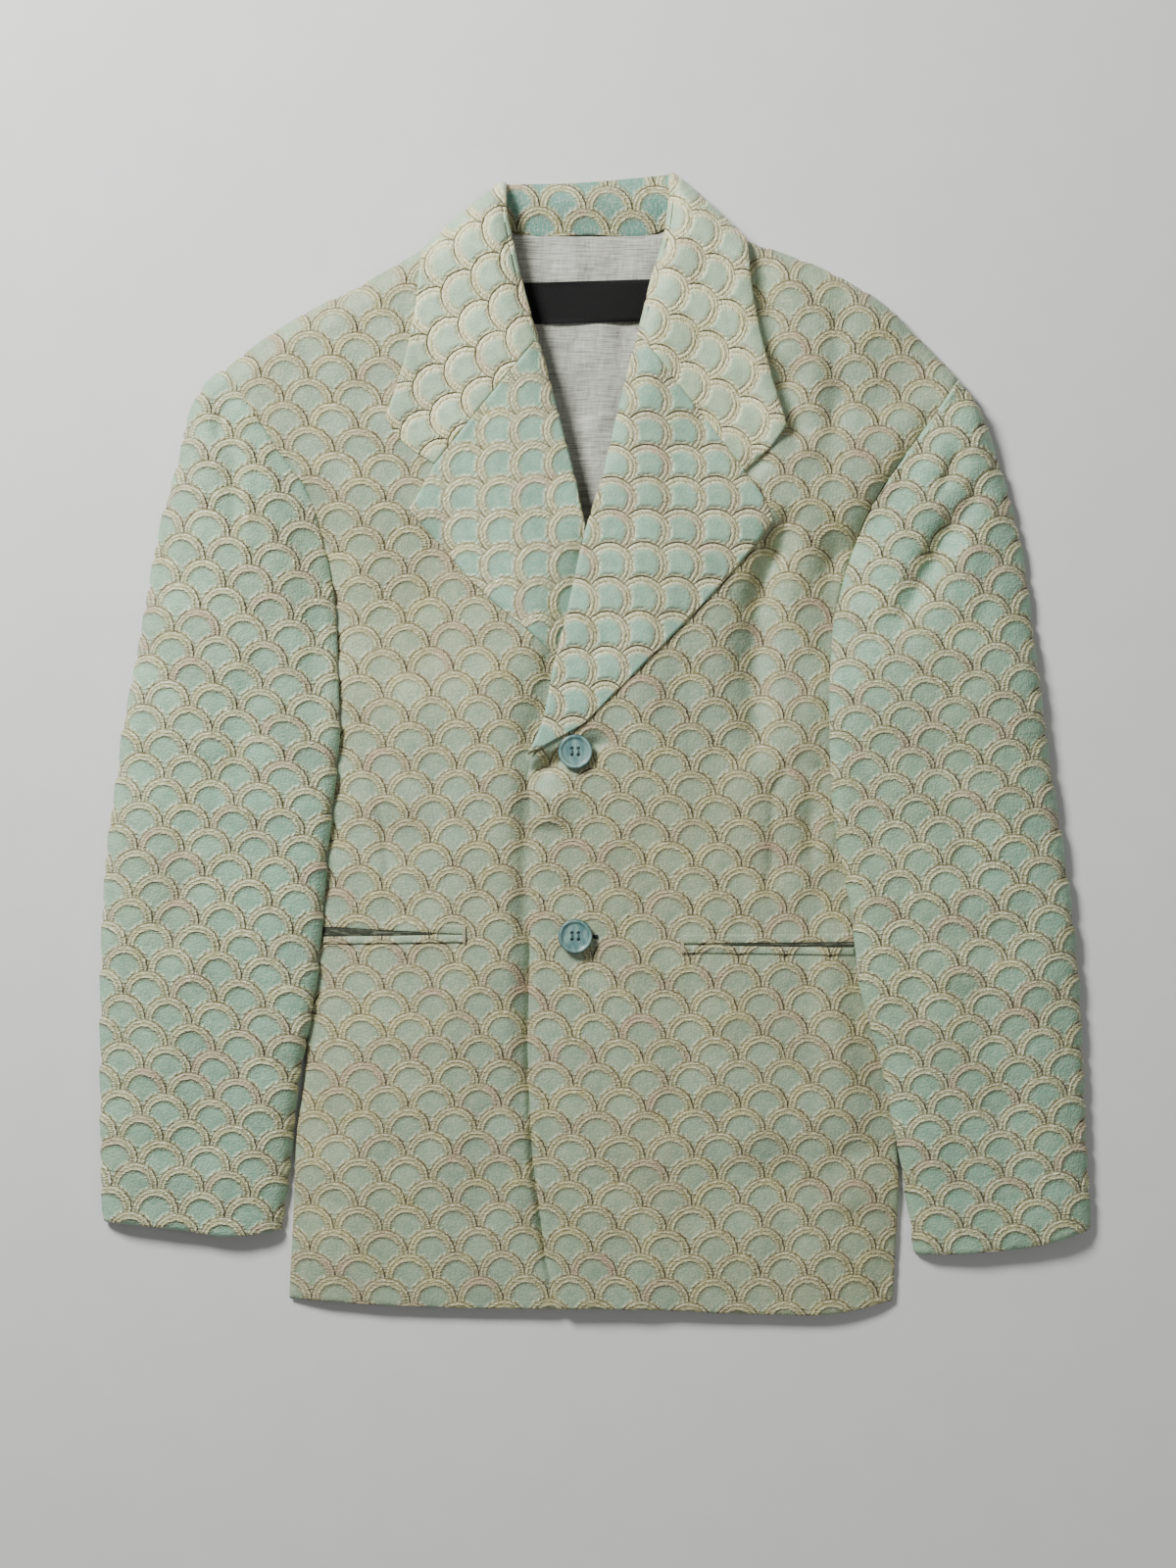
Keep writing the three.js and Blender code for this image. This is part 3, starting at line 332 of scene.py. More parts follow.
def column(table, name, y):
    """A table's column at y, on a smooth curve through its rows."""
    return hermite(y, table["y"], table[name])


def dense(points, count=400):
    """Many points on the smooth line through a few: x and y are curves of the length run so far."""
    points = np.asarray(points, float)
    run = np.r_[0, np.cumsum(np.hypot(*np.diff(points, axis=0).T))]
    at = np.linspace(0, run[-1], count)
    if len(points) == 2:
        return points[0] + np.outer(at / run[-1], points[1] - points[0])
    return np.stack([hermite(at, run, points[:, 0]), hermite(at, run, points[:, 1])], 1)


def crossing(line, known, value):
    """Where a dense line has the given x (known 0) or y (known 1): its other coordinate there."""
    order = np.argsort(line[:, known], kind="stable")
    return np.interp(value, line[order, known], line[order, 1 - known])


class Edge:
    """One edge of a piece: a few smooth legs end to end, each taking its share of the parameter t."""

    def __init__(self, *legs):
        self.lines = [dense(points) for points, steps in legs]
        counts = [count for points, count in legs]
        self.stops = np.r_[0, np.cumsum(counts)] / sum(counts)
        self.runs = [np.r_[0, np.cumsum(np.hypot(*np.diff(a, axis=0).T))] for a in self.lines]
        self.length = sum(run[-1] for run in self.runs)

    def at(self, t):
        """Points at t, evenly spaced by length along each leg, and the share of the length run there."""
        points, share = np.zeros((len(t), 2)), np.zeros(len(t))
        before = 0
        for line, run, low, high in zip(self.lines, self.runs, self.stops, self.stops[1:]):
            here = (t >= low) & (t <= high)
            length = (t[here] - low) / (high - low) * run[-1]
            points[here] = np.stack([np.interp(length, run, line[:, k]) for k in (0, 1)], 1)
            share[here] = (before + length) / self.length
            before += run[-1]
        return points, share


def steps(length, cell):
    """Parameter values from 0 to 1 about a cell apart, with two more close to each end."""
    count = max(2, round(length / cell))
    rim = np.array(RIM) * min(1 / length, 0.4 / count)
    inner = np.linspace(0, 1, count + 1)[1:-1]
    return np.r_[0, rim, inner, 1 - rim[::-1], 1]


def patch(top, bottom, left, right, across, down):
    """Plan grid between four edges (a Coons patch): the two ruled grids less the one through the corners."""
    (a, ua), (b, ub) = top.at(across), bottom.at(across)
    (c, vc), (d, vd) = left.at(down), right.at(down)
    u, v = ((ua + ub) / 2)[None, :, None], ((vc + vd) / 2)[:, None, None]
    ruled = (1 - v) * a[None] + v * b[None] + (1 - u) * c[:, None] + u * d[:, None]
    corners = (1 - v) * ((1 - u) * a[0] + u * a[-1]) + v * ((1 - u) * b[0] + u * b[-1])
    return ruled - corners


BODY_EDGE = {s: dense(OUTLINE[s]["armhole"] + OUTLINE[s]["side_seam"][1:]) for s in OUTLINE}
SHOULDER_LINE = np.vstack([dense(OUTLINE["right"]["shoulder"]), dense(OUTLINE["left"]["shoulder"])])
COLLAR_LINE = np.vstack([
    dense(OUTLINE["right"]["shoulder"][:5]), dense(OUTLINE["right"]["leaf_top"]),
    dense(OUTLINE["left"]["leaf_top"]), dense(OUTLINE["left"]["shoulder"][:6]),
])
FOLD_LINE = {s: dense(OUTLINE[s]["leaf_fold"] + OUTLINE[s]["lapel_roll"][1:]) for s in OUTLINE}


def fold_depth(folds, x, y):
    """Sum of troughs: each a bell curve across its line, fading past both ends."""
    depth = np.zeros_like(x)
    for x0, y0, x1, y1, deep, width in folds:
        run = np.array([x1 - x0, y1 - y0], float)
        length = np.hypot(*run)
        along = ((x - x0) * run[0] + (y - y0) * run[1]) / length**2
        aside = ((x - x0) * run[1] - (y - y0) * run[0]) / length
        fade = smoothstep(-0.25, 0.25, along) * (1 - smoothstep(0.75, 1.25, along))
        depth += deep * fade * np.exp(-((aside / width) ** 2))
    return depth


def rumple(x, y):
    """Unevenness of worn cloth: crossed, bent sine waves, stronger at the chest by each armhole."""
    crossed = np.sin(x / 8.7 + 1.9 * np.sin(y / 29 + 0.5)) * np.sin(y / 12.3 + 1.6 * np.sin(x / 21 + 1.1))
    slanted = np.sin((x + 0.7 * y) / 12.1 + 1.8 * np.sin((x - y) / 33))
    by_arm = np.exp(-(((np.abs(x - 0.02 * y) - 150) / 32) ** 2) - ((y + 10) / 105) ** 2)
    return (0.35 + 0.8 * by_arm) * crossed + (0.35 + 0.35 * by_arm) * slanted


def inside_body(side, x, y):
    """Distance in from the body's side edge, negative outside it."""
    edge = crossing(BODY_EDGE[side], 1, y)
    return edge - x if side == "left" else x - edge


def collar_bed(x, y):
    """Height to which the back is raised by the collar leaf beneath it."""
    aside = np.abs(x - COLLAR_BED["centre"]) - COLLAR_BED["half_width"]
    up = smoothstep(COLLAR_BED["from"], COLLAR_BED["to"], y)
    return (CLOTH + SEAM) * up * (1 - smoothstep(0, COLLAR_BED["fade"], aside))


def front_height(side, x, y, top_line=SHOULDER_LINE):
    """Outer face of a front: a fuller parabola from edge to crown, less folds, rounded at the top."""
    crown, edge = column(BODY_SECTIONS, "crown", y), column(BODY_SECTIONS, "edge", y)
    q = np.clip(inside_body(side, x, y) / column(BODY_SECTIONS, "rise", y), 0, 1)
    low = 2 * CLOTH + SEAM
    parabola = 1 - (1 - q) ** 2
    height = edge + (crown - edge) * (0.7 * parabola + 0.3 * np.sqrt(parabola)) - low
    folds = fold_depth(BODY_FOLDS + BODY_CREASES + SIDE_CREASES[side], x, y) + rumple(x, y)
    height -= folds * np.minimum(1, height / 8)
    height *= quarter_round(crossing(top_line, 0, x) - y, SHOULDER_ROUND)
    if side == "left":
        lap = 1 - smoothstep(LAP_END["from"], LAP_END["to"], x)
        height += column(LAP_SECTIONS, "lift", y) * lap
    return low + height + collar_bed(x, y)


LAP_EDGE = dense(OUTLINE["left"]["lower_roll"])
LAP_ROOM = CLOTH + 2 * SEAM


def under_lap(x, y):
    """1 where the left front covers the right one, which is smooth there and keeps under it."""
    return smoothstep(-1, 3, x - crossing(LAP_EDGE, 1, y))


def lapel_height(side, x, y):
    """Outer face of a lapel or collar leaf: the front's height, its own thickness and a roll by the fold."""
    beside = np.abs(x - crossing(FOLD_LINE[side], 1, y)) / ROLL_WIDTH
    roll = column(ROLL_SECTIONS, "bulge", y) * beside * np.exp(1 - beside)
    round_over = quarter_round(crossing(COLLAR_LINE, 0, x) - y, SHOULDER_ROUND)
    return front_height(side, x, y, COLLAR_LINE) + DRAPE + CLOTH + roll * round_over


def under_sleeve_height(side, x, y):
    """Upper face of an under sleeve: flat, but climbing onto the front where it lies over it."""
    low, low_full, high_full, high = ON_BODY[side]
    rows = smoothstep(low, low_full, y) * (1 - smoothstep(high_full, high, y))
    climb = rows * smoothstep(-STEP_UP["from"], -STEP_UP["to"], inside_body(side, x, y))
    return CLOTH + (front_height(side, x, y) + SEAM + SLEEVE_AIR) * climb


def top_sleeve_height(side, grid):
    """Outer face of a top sleeve: a superellipse arch, eased where it is sewn on, closed at its head."""
    x, y = grid[..., 0], grid[..., 1]
    run = run_along(grid)
    across = run / run[:, -1:]
    inner_x, inner_y = x[:, -1:], y[:, -1:]
    onto = 1 - smoothstep(ON_BODY[side][2], ON_BODY[side][3], inner_y)
    outer_edge = 2 * CLOTH + SEAM
    folded = np.maximum(under_sleeve_height(side, inner_x, inner_y) + SEAM + CLOTH, outer_edge)
    inner_edge = front_height(side, inner_x, inner_y) * (1 - onto) + folded * onto
    base = outer_edge + (inner_edge - outer_edge) * smoothstep(0, 1, across)
    crown = column(SLEEVE_SECTIONS, "crown", y) - SLEEVE_SINK[side] * smoothstep(40, 130, y)
    crown = crown - fold_depth(SLEEVE_FOLDS + SLEEVE_CREASES, x, y) + rumple(y, x)
    aside = np.abs(2 * across - 1)
    full = (1 - aside**4.0) ** (1 / 2.3)
    eased = 1 - aside**2.2
    sewn = np.maximum(1 - onto, 0.8 * smoothstep(-10, 90, inner_y)) * (across > 0.5)
    ease = np.maximum(sewn, (0.04 + 0.48 * smoothstep(40, 120, inner_y)) * (across <= 0.5))
    head = quarter_round(run_along(grid.swapaxes(0, 1)).T, HEAD_ROUND)
    pressed = SLEEVE_PRESS * onto * (1 - smoothstep(0, 7, run[:, -1:] * (1 - across)))
    return base + np.maximum(0, crown - base) * (full * (1 - ease) + eased * ease) * head - pressed


def lining_height(x, y):
    """Upper face of the back lining, on the back."""
    return CLOTH + collar_bed(x, y) + SEAM + LINING


def scale_relief(grain, puff):
    """Overlapping puffed scales: each rises from its outline and sinks toward the next row over it."""
    u, v = grain[..., 0], grain[..., 1]
    radius, across, rows = SCALE["radius"], SCALE["across"], SCALE["rows"]
    height, found = np.zeros(u.shape), np.zeros(u.shape, bool)
    first = np.ceil((v - radius) / rows)
    for k in range(3):
        row = first + k
        du = np.mod(u - np.mod(row, 2) * across / 2 + across / 2, across) - across / 2
        dv = v - row * rows
        distance = np.hypot(du, dv)
        covered = np.hypot(np.abs(du) - across / 2, dv + rows) - radius
        here = ~found & (distance <= radius)
        bevel = smoothstep(0, RELIEF["bevel"], radius - distance) * smoothstep(*RELIEF["tuck"], covered)
        height = np.where(here, bevel * (RELIEF["level"] + RELIEF["tip"] * dv / radius), height)
        found |= here
    return PUFF[puff] * height


def turned(grid, angle, origin=(0, 0)):
    """Grain coordinates of a plan grid: turned so that +v runs along the given angle from +Y."""
    x, y = grid[..., 0] - origin[0], grid[..., 1] - origin[1]
    c, s = math.cos(angle), math.sin(angle)
    return np.stack([x * c + y * s, -x * s + y * c], -1)


def drift(grain):
    """The weave's small wander: slow sine waves in both directions."""
    u, v = grain[..., 0], grain[..., 1]
    du = 1.7 * np.sin(v / 31 + 1.3 * np.sin(u / 61)) + 0.9 * np.sin(u / 37 + 2.1)
    dv = 1.5 * np.sin(u / 34 + 1.1 * np.sin(v / 53)) + 0.9 * np.sin(v / 41 + 0.7)
    return np.stack([u + du, v + dv], -1)


def show(name, data):
    """A new object of the scene with the given data."""
    made = bpy.data.objects.new(name, data)
    bpy.context.scene.collection.objects.link(made)
    return made


def normals(grid):
    """Unit normals of a grid of points, from its slopes along both directions, upward over most of it."""
    across, down = np.gradient(grid, axis=1), np.gradient(grid, axis=0)
    n = np.cross(across, down)
    n /= np.maximum(np.linalg.norm(n, axis=-1, keepdims=True), 1e-9)
    return n * np.sign(np.median(n[..., 2]))


def run_along(grid):
    """Length along each row of a grid, from 0 at its first column."""
    run = np.linalg.norm(np.diff(grid, axis=1), axis=-1).cumsum(1)
    return np.concatenate([np.zeros((len(run), 1)), run], 1)


def from_border(grid):
    """Distance of each grid point from the nearest border, measured along the grid."""
    run_u, run_v = run_along(grid), run_along(grid.swapaxes(0, 1)).T
    return np.minimum(np.minimum(run_u, run_u[:, -1:] - run_u), np.minimum(run_v, run_v[-1:] - run_v))


def rolled_over(grid, radius, turns=9):
    """Carries a grid past its first column and under, round a half circle; also gives it unrolled in plan."""
    first = grid[:, :1]
    out = first - grid[:, 3:4]
    out[..., 1:] = 0
    out /= np.linalg.norm(out, axis=-1, keepdims=True)
    angle = np.linspace(math.pi, 0, turns + 1)[None, :-1, None]
    radius = np.broadcast_to(radius, grid.shape[:1])[:, None, None]
    roll = first + out * radius * np.sin(angle)
    roll[..., 2:] -= radius * (1 - np.cos(angle))
    unrolled = first + out * radius * angle
    return np.concatenate([roll, grid], 1), np.concatenate([unrolled, grid], 1)[..., :2]


def cloth_wall(name, grid, thickness, relief, grain, materials, square=0):
    """A closed wall: the grid plus its relief is the outer face, the inner one is behind it.

    Its edges are rounded, but not where square is 1, as at a seam that two pieces share.
    """
    rows, columns = grid.shape[:2]
    n = normals(grid)
    inward = from_border(grid)
    rounding = EDGE_ROUNDING * thickness * (1 - quarter_round(inward, RIM[1])) * (1 - square)
    outer = grid + n * (relief * smoothstep(0, RELIEF["margin"], inward) - rounding)[..., None]
    inner = grid - n * (thickness - rounding)[..., None]
    points = np.concatenate([outer.reshape(-1, 3), inner.reshape(-1, 3)]) * MM
    index = np.arange(rows * columns).reshape(rows, columns)
    under = index + rows * columns
    a, b, c, d = index[:-1, :-1], index[1:, :-1], index[1:, 1:], index[:-1, 1:]
    top = np.stack([a, b, c, d], -1).reshape(-1, 4)
    base = top[:, ::-1] + rows * columns
    rims = []
    for edge, low in ((index[:, 0], under[:, 0]), (index[-1], under[-1]),
                      (index[::-1, -1], under[::-1, -1]), (index[0, ::-1], under[0, ::-1])):
        rims.append(np.stack([edge[:-1], low[:-1], low[1:], edge[1:]], -1))
    faces = np.concatenate([top, base, *rims])
    p = grid.reshape(-1, 3)
    middle = top[len(top) // 2]
    if np.cross(p[middle[1]] - p[middle[0]], p[middle[3]] - p[middle[0]])[2] < 0:
        faces = faces[:, ::-1]
    mesh = bpy.data.meshes.new(name)
    mesh.vertices.add(len(points))
    mesh.vertices.foreach_set("co", points.astype(np.float32).ravel())
    mesh.loops.add(faces.size)
    mesh.loops.foreach_set("vertex_index", faces.ravel().astype(np.int32))
    mesh.polygons.add(len(faces))
    mesh.polygons.foreach_set("loop_start", np.arange(0, faces.size, 4, dtype=np.int32))
    slots = np.zeros(len(faces), np.int32)
    slots[len(top):2 * len(top)] = len(materials) - 1
    mesh.polygons.foreach_set("material_index", slots)
    mesh.polygons.foreach_set("use_smooth", np.ones(len(faces), bool))
    uv = np.concatenate([grain.reshape(-1, 2)] * 2) * MM
    layer = mesh.uv_layers.new(name="grain")
    layer.data.foreach_set("uv", uv[faces.ravel()].astype(np.float32).ravel())
    for material in materials:
        mesh.materials.append(material)
    mesh.update(calc_edges=True)
    mesh.validate()
    return show(name, mesh)


def cloth_area(grid):
    """Area of a grid's cells in square metres, half the cross product of their diagonals."""
    first, second = grid[1:, 1:] - grid[:-1, :-1], grid[:-1, 1:] - grid[1:, :-1]
    return 0.5 * np.linalg.norm(np.cross(first, second), axis=-1).sum() * MM * MM


def place(piece, node, slot):
    """Ties a piece to the frame's root body and hides the part it stands for; the finish, slot, is not used.
    """
    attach(piece, "root")
    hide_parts(node)


def sew_in(piece, node, slot, grid, grain):
    """Places a cloth piece and states its flat cut, measured along the grain."""
    place(piece, node, slot)
    size = (grain.reshape(-1, 2).max(0) - grain.reshape(-1, 2).min(0)) * MM
    area = cloth_area(grid)
    flat = tuple(float(x) for x in np.round(size, 3))
    area = float(min(area, flat[0] * flat[1]))
    print(f"sheet {piece.name}: {flat[0]:.3f} x {flat[1]:.3f} m, {area:.4f} m2")


def with_height(plan, height):
    """A plan grid with the third coordinate added."""
    return np.concatenate([plan, height[..., None]], -1)


# Node trees


class Tree:
    """A material's node tree with short ways to add and join nodes."""

    def __init__(self, name):
        self.material = bpy.data.materials.new(name)
        self.material.use_nodes = True
        self.tree = self.material.node_tree
        self.tree.nodes.clear()
        self.output = self.add("ShaderNodeOutputMaterial")
        self.shader = self.add("ShaderNodeBsdfPrincipled")
        self.join(self.shader.outputs[0], self.output.inputs[0])

    def add(self, kind, **settings):
        node = self.tree.nodes.new(kind)
        for key, value in settings.items():
            setattr(node, key, value)
        return node

    def join(self, source, target):
        self.tree.links.new(source, target)

    def feed(self, socket, value):
        if hasattr(value, "is_linked"):
            self.join(value, socket)
        else:
            socket.default_value = value

    def math(self, operation, *values):
        node = self.add("ShaderNodeMath", operation=operation)
        for socket, value in zip(node.inputs, values):
            self.feed(socket, value)
        return node.outputs[0]

    def blend(self, share, first, second):
        node = self.add("ShaderNodeMix", data_type="FLOAT")
        self.feed(node.inputs[0], share)
        self.feed(node.inputs[2], first)
        self.feed(node.inputs[3], second)
        return node.outputs[0]

    def ramp(self, value, low, high, out_low=0.0, out_high=1.0):
        node = self.add("ShaderNodeMapRange", interpolation_type="SMOOTHSTEP")
        for socket, item in zip(node.inputs, (value, low, high, out_low, out_high)):
            self.feed(socket, item)
        return node.outputs[0]

    def mix(self, share, first, second, blend="MIX"):
        node = self.add("ShaderNodeMix", data_type="RGBA", blend_type=blend)
        self.feed(node.inputs[0], share)
        self.feed(node.inputs[6], first)
        self.feed(node.inputs[7], second)
        return node.outputs[2]

    def noise(self, place, scale, detail=2.0, stretch=None):
        if stretch:
            mapping = self.add("ShaderNodeMapping")
            mapping.inputs["Scale"].default_value = stretch
            self.join(place, mapping.inputs[0])
            place = mapping.outputs[0]
        node = self.add("ShaderNodeTexNoise")
        self.join(place, node.inputs["Vector"])
        node.inputs["Scale"].default_value = scale
        node.inputs["Detail"].default_value = detail
        return node.outputs[0]

    def bump(self, height, distance, strength=1.0, normal=None):
        node = self.add("ShaderNodeBump")
        node.inputs["Distance"].default_value = distance
        node.inputs["Strength"].default_value = strength
        self.join(height, node.inputs["Height"])
        if normal:
            self.join(normal, node.inputs["Normal"])
        return node.outputs[0]

    def grain(self):
        return self.add("ShaderNodeUVMap", uv_map="grain").outputs[0]

    def place(self):
        return self.add("ShaderNodeTexCoord").outputs["Object"]

    def split(self, place):
        node = self.add("ShaderNodeSeparateXYZ")
        self.join(place, node.inputs[0])
        return node.outputs

    def hypot(self, first, second):
        squared = self.math("MULTIPLY", first, first)
        return self.math("SQRT", self.math("MULTIPLY_ADD", second, second, squared))

    def tint(self, colour, value, low, high, share, shade):
        """The colour, drawn towards a shade by up to the given share as the value goes from low to high."""
        return self.mix(self.ramp(value, low, high, 0.0, share), colour, shade)

    def set(self, **values):
        for key, value in values.items():
            self.feed(self.shader.inputs[key.replace("_", " ")], value)


def rgb(red, green, blue):
    """Linear colour of an sRGB one given from 0 to 255."""
    values = np.array([red, green, blue]) / 255
    linear = np.where(values <= 0.04045, values / 12.92, ((values + 0.055) / 1.055) ** 2.4)
    return (*[float(x) for x in linear], 1.0)


def scale_place(tree, u, v):
    """Where a point lies in the scale that shows there: of the rows that reach it, the lowest one's.

    Gives the offsets from the scale's middle, the distance from it, and a random number for each scale.
    """
    radius, rows, across = (SCALE[k] * MM for k in ("radius", "rows", "across"))
    first = tree.math("CEIL", tree.math("DIVIDE", tree.math("SUBTRACT", v, radius), rows))
    picked = None
    for k in (2, 1, 0):
        row = tree.math("ADD", first, float(k))
        offset = tree.math("MULTIPLY", tree.math("FLOORED_MODULO", row, 2.0), across / 2)
        shifted = tree.math("SUBTRACT", u, offset)
        du = tree.math("WRAP", shifted, across / 2, -across / 2)
        dv = tree.math("SUBTRACT", v, tree.math("MULTIPLY", row, rows))
        distance = tree.hypot(du, dv)
        middle = tree.math("SUBTRACT", u, du)
        found = [du, dv, distance, middle, row]
        if picked is None:
            picked = found
            continue
        inside = tree.math("LESS_THAN", distance, radius)
        picked = [tree.blend(inside, old, new) for old, new in zip(picked, found)]
    du, dv, distance, middle, row = picked
    joined = tree.add("ShaderNodeCombineXYZ")
    tree.join(tree.math("ROUND", tree.math("DIVIDE", middle, across / 2)), joined.inputs[0])
    tree.join(row, joined.inputs[1])
    chance = tree.add("ShaderNodeTexWhiteNoise", noise_dimensions="2D")
    tree.join(joined.outputs[0], chance.inputs["Vector"])
    return du, dv, distance, chance.outputs["Value"]


def brocade(name, satin, deep, band, line, shine, painted_highlight_strength, groove_shade_strength, depth):
    """Satin brocade with puffed scales, each with a cream and gold band laid in along its round edge.

    The band fills the scale round a soft disc of satin, with inner arcs painted as lit ridges and shaded
    grooves and broken painted highlights along the weft, some pinker or yellower; the satin has fine warp
    threads, slow clouds of a deeper shade, and its own tone in each scale.
    """
    tree = Tree(name)
    place = tree.grain()
    along_u, along_v = tree.split(place)[:2]
    frayed = tree.noise(place, 330.0, 2.0)
    wobble = tree.math("MULTIPLY", tree.math("SUBTRACT", frayed, 0.5), 0.0016)
    u = tree.math("ADD", along_u, wobble)
    v = tree.math("ADD", along_v, wobble)
    du, dv, distance, chance = scale_place(tree, u, v)
    radius, satin_radius = SCALE["radius"] * MM, SCALE["satin"] * MM
    higher = tree.math("SUBTRACT", dv, SCALE["rise"] * MM)
    from_satin = tree.hypot(du, higher)
    beside = tree.math("SUBTRACT", tree.math("ABSOLUTE", du), SCALE["across"] * MM / 2)
    below = tree.math("ADD", dv, SCALE["rows"] * MM)
    from_next = tree.math("SUBTRACT", tree.hypot(below, beside), radius)

    inward = tree.math("SUBTRACT", radius, distance)
    outline = tree.ramp(inward, 0.0003, SCALE["line"] * MM + 0.0007, 1.0, 0.0)
    in_band = tree.ramp(from_satin, satin_radius - 0.0024, satin_radius + 0.0014)
    in_band = tree.math("MAXIMUM", in_band, tree.ramp(from_next, 0.0, 0.0032, 0.9, 0.0))
    weft = tree.noise(place, 1.0, 3.0, stretch=(230.0, 900.0, 1.0))
    warp = tree.noise(place, 1.0, 2.0, stretch=(1700.0, 150.0, 1.0))
    clouds = tree.noise(tree.place(), 6.5, 3.0)
    mottle = tree.noise(place, 120.0, 2.0)
    patches = tree.noise(place, 34.0, 2.0)
    speck = tree.noise(place, 620.0, 2.0)

    satin_colour = tree.mix(tree.ramp(clouds, 0.36, 0.66), satin, deep)
    satin_colour = tree.tint(satin_colour, warp, 0.42, 0.72, 0.36, rgb(216, 222, 198))
    satin_colour = tree.tint(satin_colour, mottle, 0.62, 0.34, 0.3, rgb(104, 142, 122))
    satin_colour = tree.tint(satin_colour, speck, 0.53, 0.64, 0.4, rgb(206, 204, 184))
    # The arcs ripple across the band; their colour is painted light on rope-like ridges and grooves
    arcs = tree.math("COSINE", tree.math("MULTIPLY", tree.math("SUBTRACT", inward, 0.0016), 1963.0))
    arcs = tree.math("MULTIPLY_ADD", tree.math("SUBTRACT", speck, 0.5), 2.0, arcs)
    band_colour = tree.tint(band, patches, 0.48, 0.68, 0.5, rgb(206, 196, 128))
    # Painted shade in the grooves between the arcs
    band_colour = tree.tint(band_colour, arcs, 0.0, -0.9, groove_shade_strength, rgb(130, 124, 86))
    band_colour = tree.tint(band_colour, weft, 0.46, 0.38, 0.6, rgb(136, 122, 82))
    # Painted highlight: cream glints on the arcs' ridges, broken along the weft
    painted_glint = tree.math("MULTIPLY", tree.ramp(arcs, 0.0, 0.8), tree.ramp(weft, 0.46, 0.54, 0.0, painted_highlight_strength))
    band_colour = tree.mix(painted_glint, band_colour, rgb(255, 252, 222))
    pinker = tree.math("MULTIPLY", tree.ramp(chance, 0.4, 1.0, 0.0, 0.4), tree.ramp(patches, 0.55, 0.4))
    band_colour = tree.mix(pinker, band_colour, rgb(216, 170, 150))
    share = tree.math("MULTIPLY", in_band, tree.ramp(dv, -0.014, 0.010, 0.62, 0.92))
    colour = tree.mix(share, satin_colour, band_colour)
    broken = tree.ramp(mottle, 0.34, 0.6, 0.95, 0.35)
    colour = tree.mix(tree.math("MULTIPLY", outline, broken), colour, line)
    colour = tree.tint(colour, chance, 0.0, 1.0, 0.16, rgb(92, 102, 78))

    metal = tree.math("MULTIPLY", in_band, tree.math("MULTIPLY", painted_glint, 0.4))
    rim = tree.math("MULTIPLY", in_band, tree.math("SUBTRACT", 1.0, outline))
    band_weft = tree.math("MULTIPLY", weft, in_band)
    band_arcs = tree.math("MULTIPLY", arcs, in_band)
    height = tree.math("MULTIPLY", dv, 40.0)
    for part, rise in ((rim, 0.42), (outline, -1.25), (band_weft, 1.4), (band_arcs, 0.34), (mottle, 0.5),
                       (speck, 0.5), (warp, 0.22)):
        height = tree.math("MULTIPLY_ADD", part, rise, height)
    tree.set(
        Base_Color=colour,
        Roughness=tree.ramp(metal, 0.0, 0.5, shine, shine - 0.08),
        Metallic=metal,
        Specular_IOR_Level=0.4,
        Sheen_Weight=0.12,
        Sheen_Roughness=0.4,
        Normal=tree.bump(height, depth, 0.95),
    )
    return tree.material


def linen(name, light, dark):
    """Slubby plain weave: two crossed sets of long uneven threads, with clouds of a darker shade."""
    tree = Tree(name)
    place = tree.grain()
    weft = tree.noise(place, 1.0, 3.0, stretch=(55.0, 1100.0, 1.0))
    warp = tree.noise(place, 1.0, 3.0, stretch=(1400.0, 70.0, 1.0))
    cloud = tree.noise(place, 26.0, 3.0)
    slub = tree.math("ADD", tree.math("MULTIPLY", weft, 0.75), tree.math("MULTIPLY", warp, 0.25))
    colour = tree.mix(tree.ramp(slub, 0.36, 0.6), dark, light)
    colour = tree.tint(colour, cloud, 0.42, 0.7, 0.3, dark)
    wrinkles = tree.noise(place, 46.0, 3.0, stretch=(1.0, 0.6, 1.0))
    height = tree.math("MULTIPLY_ADD", wrinkles, 13.0, slub)
    tree.set(Base_Color=colour, Roughness=0.8, Sheen_Weight=0.2, Normal=tree.bump(height, 0.0007, 0.6))
    return tree.material


def label_satin(name):
    """Black woven satin with fine ribs."""
    tree = Tree(name)
    place = tree.grain()
    rib = tree.noise(place, 1.0, 2.0, stretch=(3000.0, 200.0, 1.0))
    colour = tree.mix(tree.ramp(rib, 0.3, 0.7), rgb(3, 3, 3), rgb(12, 11, 10))
    tree.set(Base_Color=colour, Roughness=0.6, Specular_IOR_Level=0.18, Normal=tree.bump(rib, 0.0002, 0.5))
    return tree.material


def button_plastic(name, x, y):
    """Teal-grey polyester, clouded, a little glossy, darker round its rim and in the ring inside it."""
    tree = Tree(name)
    place = tree.place()
    cloud = tree.noise(place, 240.0, 3.0, stretch=(1.0, 0.35, 1.0))
    colour = tree.mix(tree.ramp(cloud, 0.35, 0.65), rgb(84, 122, 120), rgb(130, 162, 154))
    at_x, at_y = tree.split(place)[:2]
    dx = tree.math("SUBTRACT", at_x, x * MM)
    dy = tree.math("SUBTRACT", at_y, y * MM)
    out = tree.hypot(dy, dx)
    colour = tree.tint(colour, out, 0.0108, 0.0118, 0.75, rgb(34, 60, 58))
    ring = tree.math("ABSOLUTE", tree.math("SUBTRACT", out, 0.0088))
    colour = tree.mix(tree.ramp(ring, 0.0, 0.0011, 0.45, 0.0), colour, rgb(48, 78, 76))
    fine = tree.noise(place, 1500.0, 2.0)
    tree.set(Base_Color=colour, Roughness=0.34, Coat_Weight=0.2, Coat_Roughness=0.2,
             Normal=tree.bump(fine, 0.0001, 0.3))
    return tree.material


def thread_finish(name, colour, shade):
    """Twisted sewing thread."""
    tree = Tree(name)
    place = tree.place()
    twist = tree.noise(place, 2600.0, 2.0)
    tree.set(Base_Color=tree.mix(tree.ramp(twist, 0.3, 0.7), colour, shade), Roughness=0.7,
             Normal=tree.bump(twist, 0.0002, 0.8))
    return tree.material


